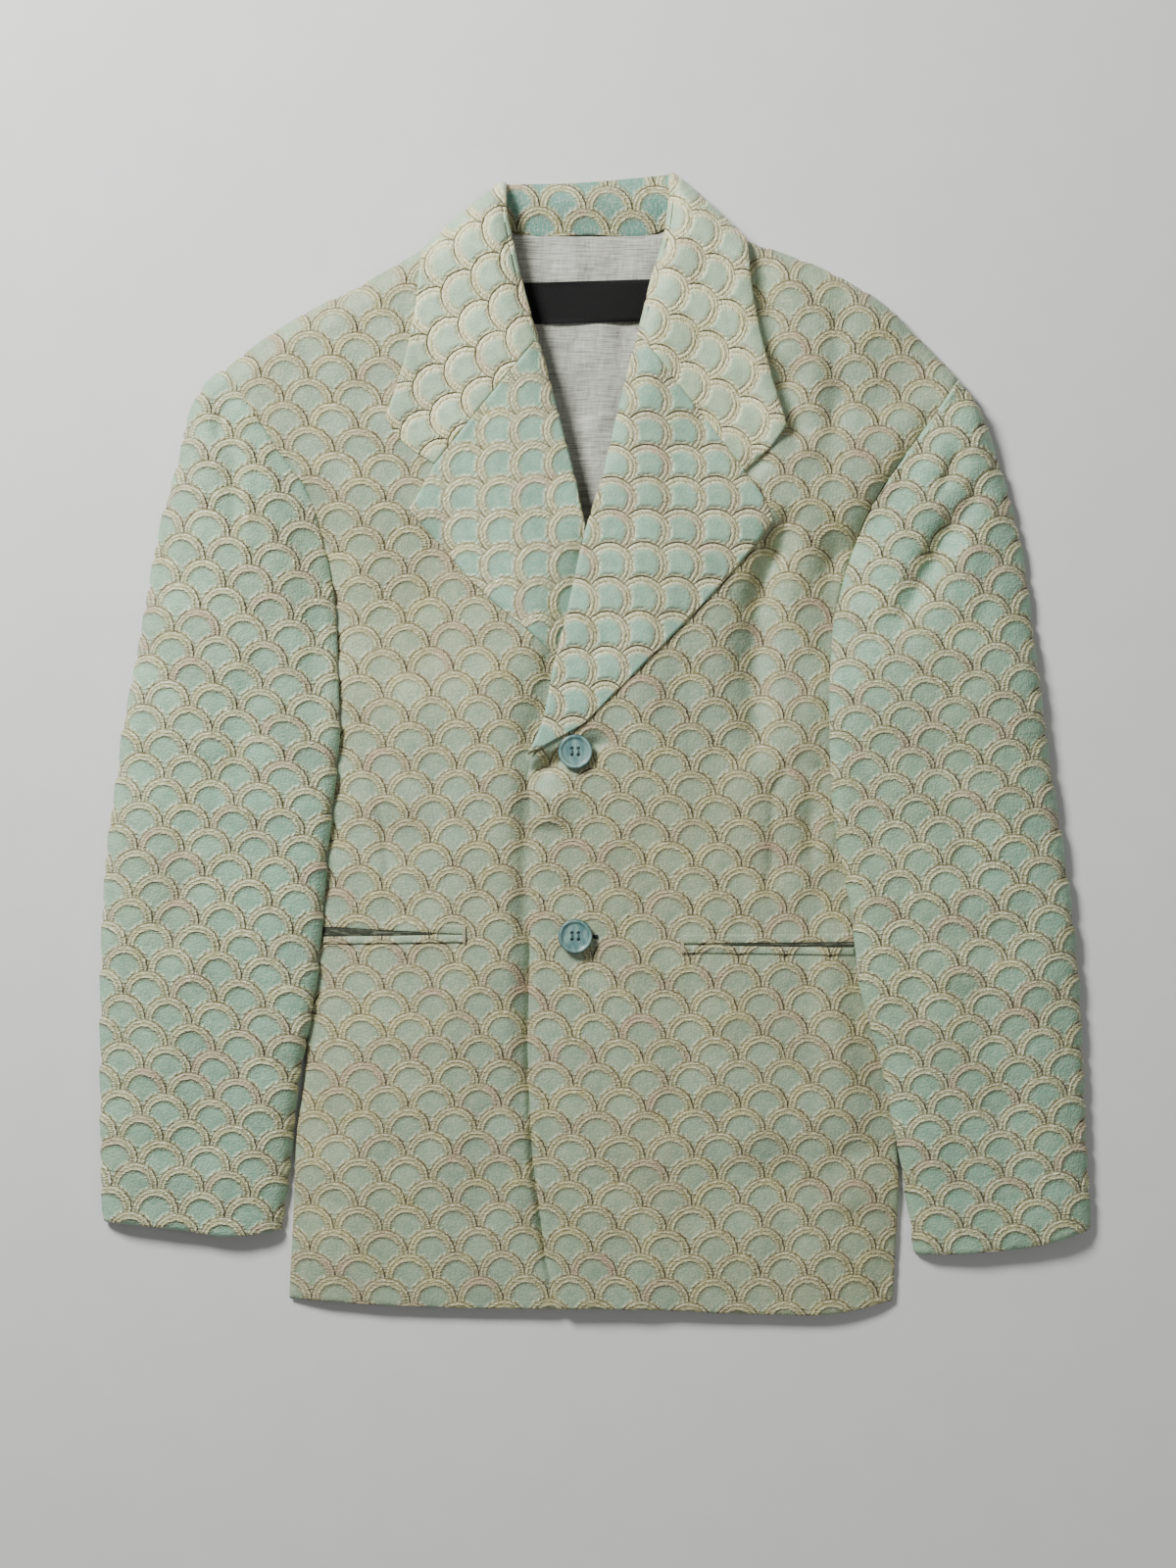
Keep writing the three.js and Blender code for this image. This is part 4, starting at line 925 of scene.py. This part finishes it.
def shadow_cloth(name):
    """The cloth inside the pocket slits, darkened to near black as painted shade of the slit."""
    tree = Tree(name)
    place = tree.grain()
    weave = tree.noise(place, 1.0, 2.0, stretch=(900.0, 900.0, 1.0))
    folds = tree.noise(place, 1.0, 2.0, stretch=(90.0, 500.0, 1.0))
    colour = tree.mix(tree.ramp(weave, 0.3, 0.7), rgb(34, 38, 27), rgb(62, 68, 52))
    colour = tree.tint(colour, folds, 0.52, 0.66, 0.6, rgb(124, 128, 104))
    tree.set(Base_Color=colour, Roughness=0.85, Normal=tree.bump(weave, 0.0004, 0.6))
    return tree.material


GOLD_LINE = rgb(98, 80, 46)
# Paler outline for the collar and lapel brocades, lightened as painted light
PAINTED_LIT_LINE = rgb(130, 116, 74)
BODY_CLOTH = brocade("body brocade", rgb(150, 173, 144), rgb(156, 171, 134), rgb(180, 175, 130), GOLD_LINE,
                     0.54, 0.6, 0.45, 0.0009)
# Collar leaves: the brocade as a painted lit copy, brighter and creamier than the body's
COLLAR_CLOTH_PAINTED_LIT = brocade("collar brocade painted lit", rgb(174, 203, 169), rgb(180, 201, 158), rgb(246, 240, 184),
                       PAINTED_LIT_LINE, 0.5, 0.9, 0.28, 0.0008)
# Stand: the brocade with its satin darkened as painted shade inside the neck, and brighter bands as painted
# highlight
STAND_CLOTH_PAINTED_SHADE = brocade("stand brocade painted shade", rgb(84, 146, 136), rgb(104, 148, 124), rgb(190, 186, 136), GOLD_LINE,
                      0.52, 0.8, 0.4, 0.001)
# Lapels: the brocade bluer and creamier, its colour shifted as painted sheen
LAPEL_CLOTH_PAINTED_SHEEN = brocade("lapel brocade painted sheen", rgb(136, 187, 163), rgb(144, 186, 158), rgb(212, 206, 160), PAINTED_LIT_LINE,
                      0.5, 0.85, 0.34, 0.0008)
# Sleeves: the brocade greener and brighter, its colour shifted as painted sheen and light
SLEEVE_CLOTH_PAINTED_SHEEN = brocade("sleeve brocade painted sheen", rgb(142, 189, 160), rgb(150, 184, 151), rgb(206, 205, 158),
                       GOLD_LINE, 0.5, 1.0, 0.5, 0.0013)
LINING_CLOTH = linen("lining linen", rgb(190, 190, 179), rgb(136, 137, 127))
LABEL_CLOTH = label_satin("label satin")
BUTTON_THREAD = thread_finish("button thread", rgb(70, 104, 108), rgb(38, 62, 66))
# Near-black thread: in the button holes it is painted shade of the holes; it also makes the buttonhole's bar
DARK_THREAD_AND_HOLE_SHADE = thread_finish("dark thread and painted hole shade", rgb(26, 40, 42), rgb(14, 22, 24))
TACK_THREAD = thread_finish("tack thread", rgb(206, 202, 172), rgb(150, 140, 108))
SLIT_SHADE_CLOTH = shadow_cloth("pocket slit painted shade")


# Pieces


def close_at_top(length):
    """Steps down a piece, closer together where it rounds over at the shoulder."""
    values = steps(length, CELL)
    first = SHOULDER_ROUND / length
    near = np.linspace(0, 1, 14) ** 2.2 * first
    return np.r_[near, values[values > first * 1.02]]


def at_armhole(down, shape, columns):
    """1 on the first or last columns beside the armhole's seam, 0 elsewhere."""
    seam = np.zeros(shape)
    seam[down < ARMHOLE_STEPS / (ARMHOLE_STEPS + SIDE_STEPS), columns] = 1
    return seam


def make_front(side, pocket):
    """One front panel; the right one is lowered and smooth where the left one covers it."""
    line = OUTLINE[side]
    left = Edge((line["armhole"], ARMHOLE_STEPS), (line["side_seam"], SIDE_STEPS))
    right = Edge((line["upper_roll"], ARMHOLE_STEPS), (line["lower_roll"], SIDE_STEPS))
    top, bottom = Edge((line["shoulder"], 1)), Edge((line["hem"], 1))
    down = close_at_top(left.length)
    plan = patch(top, bottom, left, right, steps(bottom.length, CELL), down)
    x, y = plan[..., 0], plan[..., 1]
    height = front_height(side, x, y)
    grain = drift(turned(plan, 0))
    relief = scale_relief(grain, "body")
    if side == "right":
        covered = under_lap(x, y)
        height += covered * np.minimum(0, front_height("left", x, y) - LAP_ROOM - height)
        relief *= 1 - covered
    grid = with_height(plan, height)
    piece = cloth_wall(f"front_{side}", grid, CLOTH, relief, grain, [BODY_CLOTH, LINING_CLOTH],
                       at_armhole(down, x.shape, slice(SEAM_COLUMNS)))
    sew_in(piece, f"front_{side}", "brocade", grid, grain)


def make_back():
    """The back panel, which lies on the surface."""
    right, left = OUTLINE["right"], OUTLINE["left"]
    top = Edge((right["shoulder"], 4), (BACK_NECK, 4), (left["shoulder"][::-1], 4))
    bottom = Edge((right["hem"], 6), (left["hem"][::-1][2:], 6))
    first = Edge((right["armhole"], ARMHOLE_STEPS), (right["side_seam"], SIDE_STEPS))
    second = Edge((left["armhole"], ARMHOLE_STEPS), (left["side_seam"], SIDE_STEPS))
    plan = patch(top, bottom, first, second, steps(bottom.length, PLAIN_CELL),
                 steps(first.length, PLAIN_CELL))
    grid = with_height(plan, CLOTH + collar_bed(plan[..., 0], plan[..., 1]))
    grain = drift(turned(plan, 0))
    piece = cloth_wall("back", grid, CLOTH, np.zeros(plan.shape[:2]), grain, [LINING_CLOTH, BODY_CLOTH])
    sew_in(piece, "back", "brocade", grid, grain)


SLEEVE_TURN = {"right": -0.074, "left": 0.12}


def make_sleeve(side):
    """The top and the under sleeve of one side."""
    line = OUTLINE[side]
    top = Edge(([line["sleeve_head"][0], line["armhole"][0]], 1))
    bottom = Edge((line["cuff"], 1))
    left = Edge((line["sleeve_head"], ARMHOLE_STEPS), (line["sleeve_outer"], SIDE_STEPS))
    right = Edge((line["armhole"], ARMHOLE_STEPS), (line["sleeve_fold"], SIDE_STEPS))
    for kind, cell in (("top", CELL), ("under", PLAIN_CELL)):
        down = close_at_top(left.length) if kind == "top" else steps(left.length, cell)
        plan = patch(top, bottom, left, right, steps(SLEEVE_WIDTH, cell), down)
        x, y = plan[..., 0], plan[..., 1]
        grain = drift(turned(plan, SLEEVE_TURN[side], (0, 5)))
        if kind == "top":
            grid = with_height(plan, top_sleeve_height(side, plan))
            relief = scale_relief(grain, "sleeve")
            faces = [SLEEVE_CLOTH_PAINTED_SHEEN, LINING_CLOTH]
        else:
            grid = with_height(plan, under_sleeve_height(side, x, y))
            relief = np.zeros(x.shape)
            faces = [LINING_CLOTH, SLEEVE_CLOTH_PAINTED_SHEEN]
        name = f"{kind}_sleeve_{side}"
        seam = at_armhole(down, x.shape, slice(-SEAM_COLUMNS, None))
        piece = cloth_wall(name, grid, CLOTH, relief, grain, faces, seam)
        sew_in(piece, name, "sleeve_brocade", grid, grain)


LAPEL_TURN = {"right": math.radians(45), "left": math.radians(-45)}
LEAF_TURN = {"right": math.radians(75), "left": math.radians(-75)}
LAPEL_LIFT = {"right": 0.2, "left": -0.5}
LEAF_LIFT = {"right": 1.0, "left": 3.4}


def turned_back(side, plan, free_lift):
    """A lapel or leaf: lifted a little along its free edge, and rolled under along its fold."""
    x, y = plan[..., 0], plan[..., 1]
    height = lapel_height(side, x, y)
    run = run_along(plan)
    uneven = 1 + FREE_EDGE["uneven"] * np.sin(y / FREE_EDGE["wave"])
    lift = free_lift * uneven * (1 - smoothstep(0, FREE_EDGE["reach"], run[:, -1:] - run))
    height = height + lift * np.clip((height - 8) / 8, 0, 1)
    fold_y = y[:, 0]
    radius = ROLL["radius"] + ROLL["more"] * smoothstep(ROLL["from"], ROLL["to"], fold_y)
    return rolled_over(with_height(plan, height), np.minimum(radius, height[:, 0] / 2 - ROLL["clear"]))


def make_lapel(side):
    """One lapel, turned back along its roll."""
    line = OUTLINE[side]
    top = Edge((line["gorge"], 4), (line["lapel_top"], 2))
    bottom = Edge(([line["lapel_roll"][-1], line["lapel_outer"][-1]], 1))
    left, right = Edge((line["lapel_roll"], 1)), Edge((line["lapel_outer"], 1))
    plan = patch(top, bottom, left, right, steps(top.length, CELL), steps(left.length, CELL))
    grid, plan = turned_back(side, plan, LAPEL_LIFT[side])
    grain = drift(turned(plan, LAPEL_TURN[side], (7, 3)))
    piece = cloth_wall(f"lapel_{side}", grid, CLOTH, scale_relief(grain, "facing"), grain, [LAPEL_CLOTH_PAINTED_SHEEN])
    sew_in(piece, f"lapel_{side}", "facing_brocade", grid, grain)


def make_collar_leaf(side):
    """One front leaf of the collar, turned back along its fold."""
    line = OUTLINE[side]
    top = Edge((line["leaf_top"][::-1], 1))
    bottom = Edge((line["gorge"], 4), (line["leaf_bottom"], 2))
    left, right = Edge((line["leaf_fold"], 1)), Edge((line["leaf_outer"], 1))
    plan = patch(top, bottom, left, right, steps(bottom.length, CELL), close_at_top(left.length))
    grid, plan = turned_back(side, plan, LEAF_LIFT[side])
    grain = drift(turned(plan, LEAF_TURN[side], (3, 11)))
    relief = scale_relief(grain, "facing")
    piece = cloth_wall(f"collar_leaf_{side}", grid, CLOTH, relief, grain, [COLLAR_CLOTH_PAINTED_LIT])
    sew_in(piece, f"collar_leaf_{side}", "brocade", grid, grain)


def make_back_leaf():
    """The collar's leaf behind the neck, under the back."""
    right, left = OUTLINE["right"]["leaf_top"], OUTLINE["left"]["leaf_top"]
    top, bottom = Edge((COLLAR_FOLD, 1)), Edge((BACK_LEAF_BOTTOM, 1))
    first = Edge((right[:2] + [COLLAR_FOLD[0]], 1))
    second = Edge((left[:2] + [COLLAR_FOLD[3]], 1))
    first.lines[0], second.lines[0] = first.lines[0][::-1].copy(), second.lines[0][::-1].copy()
    plan = patch(top, bottom, first, second, steps(top.length, PLAIN_CELL), steps(first.length, PLAIN_CELL))
    grid = with_height(plan, np.full(plan.shape[:2], CLOTH))
    grain = drift(turned(plan, math.pi))
    piece = cloth_wall("collar_leaf_back", grid, CLOTH, np.zeros(plan.shape[:2]), grain, [BODY_CLOTH])
    sew_in(piece, "collar_leaf_back", "brocade", grid, grain)


def make_stand():
    """The collar's stand, the strip seen inside the neck."""
    bed = CLOTH + SEAM
    seam_height = bed + 2 * CLOTH + SEAM
    fold_height = bed + CLOTH + 0.1
    top, bottom = Edge((COLLAR_FOLD, 1)), Edge((STAND_SEAM, 1))
    left = Edge(([COLLAR_FOLD[0], (-70, 378), STAND_SEAM[0]], 1))
    right = Edge(([COLLAR_FOLD[3], (58, 383), STAND_SEAM[4]], 1))
    down = steps(left.length, CELL)
    plan = patch(top, bottom, left, right, steps(top.length, CELL), down)
    up = (1 - down)[:, None]
    height = seam_height + (fold_height - seam_height) * up + STAND["swell"] * np.sin(math.pi * up**1.4)
    run = run_along(plan)
    from_end = np.minimum(run, run[:, -1:] - run)
    at_end = 1 - smoothstep(0, STAND["end_reach"], from_end)
    grid = with_height(plan, height + STAND["end_rise"] * (1 - up**2) * at_end)
    grain = drift(turned(plan, 0, (9, 2)))
    piece = cloth_wall("collar_stand", grid, CLOTH, scale_relief(grain, "facing"), grain, [STAND_CLOTH_PAINTED_SHADE])
    sew_in(piece, "collar_stand", "brocade", grid, grain)


def make_lining():
    """The back's lining where it shows in the neck."""
    edges = [Edge((LINING_OUTLINE[k], 1)) for k in ("top", "bottom", "left", "right")]
    plan = patch(*edges, steps(edges[0].length, CELL), steps(edges[2].length, CELL))
    x, y = plan[..., 0], plan[..., 1]
    grid = with_height(plan, lining_height(x, y))
    waves = np.sin(x / 6.5 + 1.4 * np.sin(y / 26)) * np.sin(y / 30 + x / 50 + 0.6)
    puckers = np.sin(y / 5.5 + 1.7 * np.sin(x / 19)) * np.sin(x / 12 + y / 70)
    grain = turned(plan, 0)
    piece = cloth_wall("back_lining", grid, LINING, 1.8 + 1.5 * waves + 0.6 * puckers, grain, [LINING_CLOTH])
    sew_in(piece, "back_lining", "lining", grid, grain)


def make_label():
    """The bare label in the neck."""
    def corner(across, up):
        dx, dy = across * LABEL["width"] / 2, up * LABEL["height"] / 2
        return LABEL["x"] + dx - dy * LABEL["turn"], LABEL["y"] + dy + dx * LABEL["turn"]

    pairs = [((-1, 1), (1, 1)), ((-1, -1), (1, -1)), ((-1, 1), (-1, -1)), ((1, 1), (1, -1))]
    edges = [Edge(([corner(*a), corner(*b)], 1)) for a, b in pairs]
    plan = patch(*edges, steps(LABEL["width"], CELL), steps(LABEL["height"], CELL))
    x, y = plan[..., 0], plan[..., 1]
    grid = with_height(plan, lining_height(x, y) + SEAM + LABEL["thick"] + LABEL["clear"])
    grain = turned(plan, 0)
    piece = cloth_wall("label", grid, LABEL["thick"], 0.3 * np.sin(x / 17), grain, [LABEL_CLOTH])
    sew_in(piece, "label", "label", grid, grain)


def pocket_end(side):
    """Where a pocket's jets end: a little past its slit."""
    outer, inner = POCKETS[side]["outer"], POCKETS[side]["inner"]
    return inner + math.copysign(POCKET_END, inner - outer)


def make_pocket(side):
    """Two jets and the cloth that shows in the slit between them, each a strip on the front."""
    pocket = POCKETS[side]
    outer, inner = pocket["outer"], pocket["inner"]

    def lip(x, up, width):
        q = (x - outer) / (inner - outer)
        middle = pocket["y_outer"] + (pocket["y_inner"] - pocket["y_outer"]) * q
        gape = max(0.4, pocket["gape"][0] + (pocket["gape"][1] - pocket["gape"][0]) * q)
        return x, middle + up * (gape / 2 + width)

    def strip(name, high, low, stop, thickness, material, slot, lift):
        top = [lip(x, *high) for x in (outer, (outer + stop) / 2, stop)]
        bottom = [lip(x, *low) for x in (outer, (outer + stop) / 2, stop)]
        ends = [Edge(([top[0], bottom[0]], 1)), Edge(([top[2], bottom[2]], 1))]
        plan = patch(Edge((top, 1)), Edge((bottom, 1)), *ends, steps(abs(stop - outer), 1.5),
                     steps(max(ends[0].length, 2), 0.6))
        height = front_height(side, plan[..., 0], plan[..., 1]) + SEAM + 0.1 + lift + thickness
        grid = with_height(plan, height)
        grain = drift(turned(plan, 0))
        relief = np.full(plan.shape[:2], JET["round"])
        piece = cloth_wall(name, grid, thickness, relief, grain, [material])
        place(piece, name, slot)
        return piece

    jet = (pocket_end(side), JET["thick"], BODY_CLOTH, "brocade", JET["lift"])
    slit_end = outer + (inner - outer) * 0.8
    return [
        strip(f"pocket_jet_upper_{side}", (1, JET["upper"]), (1, 0), *jet),
        strip(f"pocket_jet_lower_{side}", (-1, 0), (-1, JET["lower"]), *jet),
        # The slit's strip is near-black cloth: painted shade
        strip(f"pocket_facing_{side}", (1, -SEAM), (-1, -SEAM), slit_end, JET["thick"] / 2, SLIT_SHADE_CLOTH,
              "pocket_cloth", JET["facing_lift"]),
    ]


def ring_faces(index):
    """Faces between each ring of point numbers and the next."""
    following = np.roll(index, -1, axis=1)
    return np.stack([index[:-1], following[:-1], following[1:], index[1:]], -1).reshape(-1, 4).tolist()


def closed_piece(name, points, faces, material, weld=False):
    """An object from points in millimetres, its faces turned outward; weld joins points at one place."""
    mesh = bpy.data.meshes.new(name)
    mesh.from_pydata((points.reshape(-1, 3) * MM).tolist(), [], faces)
    mesh.materials.append(material)
    work = bmesh.new()
    work.from_mesh(mesh)
    if weld:
        bmesh.ops.remove_doubles(work, verts=work.verts, dist=1e-7)
    bmesh.ops.recalc_face_normals(work, faces=work.faces)
    work.to_mesh(mesh)
    work.free()
    mesh.polygons.foreach_set("use_smooth", np.ones(len(mesh.polygons), bool))
    return show(name, mesh)


def make_button(name, x, y):
    """Four-hole button: a lathe profile with a rim and dish, pierced by four soft wells."""
    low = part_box(name)[0].z / MM
    profile = np.array(BUTTON_PROFILE)
    run = np.r_[0, np.cumsum(np.hypot(*np.diff(profile, axis=0).T))]
    at = np.linspace(0, run[-1], 130)
    r = np.clip(hermite(at, run, profile[:, 0]), 0, BUTTON_RADIUS)
    z = hermite(at, run, profile[:, 1])
    turn = np.linspace(0, 2 * math.pi, 96, endpoint=False)
    px, py = np.outer(r, np.cos(turn)), np.outer(r, np.sin(turn))
    pz = np.repeat(z[:, None], len(turn), 1)
    upper = (at > run[6])[:, None]
    for sx, sy in CORNERS:
        well = np.hypot(px - sx * HOLE["off"], py - sy * HOLE["off"])
        pz -= upper * HOLE["depth"] * (1 - smoothstep(*HOLE["radius"], well))
    finish = button_plastic(f"{name} polyester", x, y)
    points = np.stack([px + x, py + y, pz + low], -1)
    faces = ring_faces(np.arange(px.size).reshape(px.shape))
    place(closed_piece(name, points, faces, finish, weld=True), name, "button")
    sew_button(name, x, y, low + BUTTON_DISH)


def thread_piece(name, paths, radius, material):
    """Short threads as bent tubes: rings round each point of a path, square to its run."""
    turn = np.linspace(0, 2 * math.pi, THREAD_SIDES, endpoint=False)
    points, faces, first = [], [], 0
    for path in paths:
        path = np.asarray(path, float)
        run = np.gradient(path, axis=0)
        run /= np.linalg.norm(run, axis=1, keepdims=True)
        side = np.cross(run, [0.13, 0.31, 0.94])
        side /= np.linalg.norm(side, axis=1, keepdims=True)
        over = np.cross(side, run)
        ring = path[:, None] + radius * (side[:, None] * np.cos(turn)[None, :, None]
                                         + over[:, None] * np.sin(turn)[None, :, None])
        index = np.arange(len(path) * THREAD_SIDES).reshape(len(path), THREAD_SIDES) + first
        faces += ring_faces(index)
        faces += [index[0, ::-1].tolist(), index[-1].tolist()]
        points.append(ring.reshape(-1, 3))
        first += index.size
    piece = closed_piece(name, np.concatenate(points), faces, material)
    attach(piece, "root")


def sew_button(name, x, y, z):
    """Two pairs of stitches between the holes, and near-black thread in each hole, darker than the stitches
    as painted shade.
    """
    t = np.linspace(0, math.pi, 20)
    over = []
    for across in (-HOLE["off"], HOLE["off"]):
        for strand in (-0.3, 0.3):
            over.append(np.stack([x + across + strand + 0 * t, y - 2.0 * np.cos(t),
                                  z - 0.9 + 1.1 * np.sin(t) ** 0.6], -1))
    thread_piece(f"{name}_thread", over, THREAD["button"], BUTTON_THREAD)
    holes = []
    for sx, sy in CORNERS:
        up = np.linspace(-1.5, -0.35, 4)
        holes.append(np.stack([x + sx * HOLE["off"] + 0 * up, y + sy * 2.5 + 0 * up, z + up], -1))
    thread_piece(f"{name}_holes", holes, THREAD["holes"], DARK_THREAD_AND_HOLE_SHADE)


def make_buttonhole(name, x, y):
    """The far end of the buttonhole that shows past the button: a short bar of close stitches."""
    bars = []
    for i, at in enumerate(np.linspace(12.6, 15.4, 7)):
        t = np.linspace(-1, 1, 9)
        px, py = np.full(t.shape, x + at), y - 0.6 + t * (1.3 - 0.1 * (i % 2))
        height = front_height("left", px, py) + 0.75 - 0.35 * t * t
        bars.append(np.stack([px, py, height + scale_margin(px, py)], -1))
    thread_piece(name, bars, THREAD["buttonhole"], DARK_THREAD_AND_HOLE_SHADE)


def scale_margin(x, y):
    """How far the body's puffed scales stand over its even surface at a plan point."""
    grain = drift(turned(np.stack([x, y], -1), 0))
    return scale_relief(grain, "body")


def make_tacks(side):
    """A bar tack of three threads across the inner end of a pocket."""
    t = np.linspace(-1, 1, 15)
    paths = []
    for shift in (-0.7, 0.0, 0.7):
        px = np.full(t.shape, pocket_end(side) + shift)
        py = POCKETS[side]["y_inner"] - 0.3 + t * 6.2
        height = front_height(side, px, py) + 2.55 - 0.5 * t * t
        paths.append(np.stack([px, py, height], -1))
    thread_piece(f"pocket_tack_{side}", paths, THREAD["tack"], TACK_THREAD)


make_back()
make_back_leaf()
make_lining()
make_label()
for wearer_side in ("right", "left"):
    make_front(wearer_side, make_pocket(wearer_side))
    make_lapel(wearer_side)
    make_collar_leaf(wearer_side)
    make_sleeve(wearer_side)
    make_tacks(wearer_side)
make_stand()
for button, (button_x, button_y) in BUTTONS.items():
    make_button(button, button_x, button_y)
make_buttonhole("buttonhole_lower", *BUTTONS["button_lower"])


# Floor, lights and camera


def make_floor():
    """A plain pale square, a hair below the cloth."""
    mesh = bpy.data.meshes.new("floor")
    half = FLOOR["half"]
    corners = [(-half, -half, 0), (half, -half, 0), (half, half, 0), (-half, half, 0)]
    mesh.from_pydata(corners, [], [(0, 1, 2, 3)])
    floor = show("floor", mesh)
    floor.location.z = FLOOR["z"]
    tree = Tree("pale floor")
    grain = tree.noise(tree.place(), 30.0, 2.0)
    tree.set(Base_Color=tree.mix(grain, rgb(214, 214, 212), rgb(220, 220, 218)), Roughness=0.9)
    mesh.materials.append(tree.material)


def make_light(name, place, size, power):
    """A round lamp that faces the origin."""
    data = bpy.data.lights.new(name, "AREA")
    data.shape, data.size, data.energy = "DISK", size, power
    light = show(name, data)
    light.location = place
    light.rotation_euler = (-Vector(place)).to_track_quat("-Z", "Y").to_euler()


def make_camera():
    """Straight above, framing 816 mm by 1088 mm round the photo's middle."""
    data = bpy.data.cameras.new("camera")
    data.sensor_width = CAMERA["sensor"]
    data.lens = CAMERA["lens"]
    camera = show("camera", data)
    camera.location = CAMERA["place"]
    bpy.context.scene.camera = camera


make_floor()
make_light("key", (-0.98, 1.14, 1.3), 0.6, 69)
make_light("fill", (1.4, -0.4, 2.2), 1.6, 8)
make_camera()
world = bpy.data.worlds.new("studio")
world.use_nodes = True
world.node_tree.nodes["Background"].inputs[0].default_value = (1, 1, 1, 1)
world.node_tree.nodes["Background"].inputs[1].default_value = 0.16
bpy.context.scene.world = world
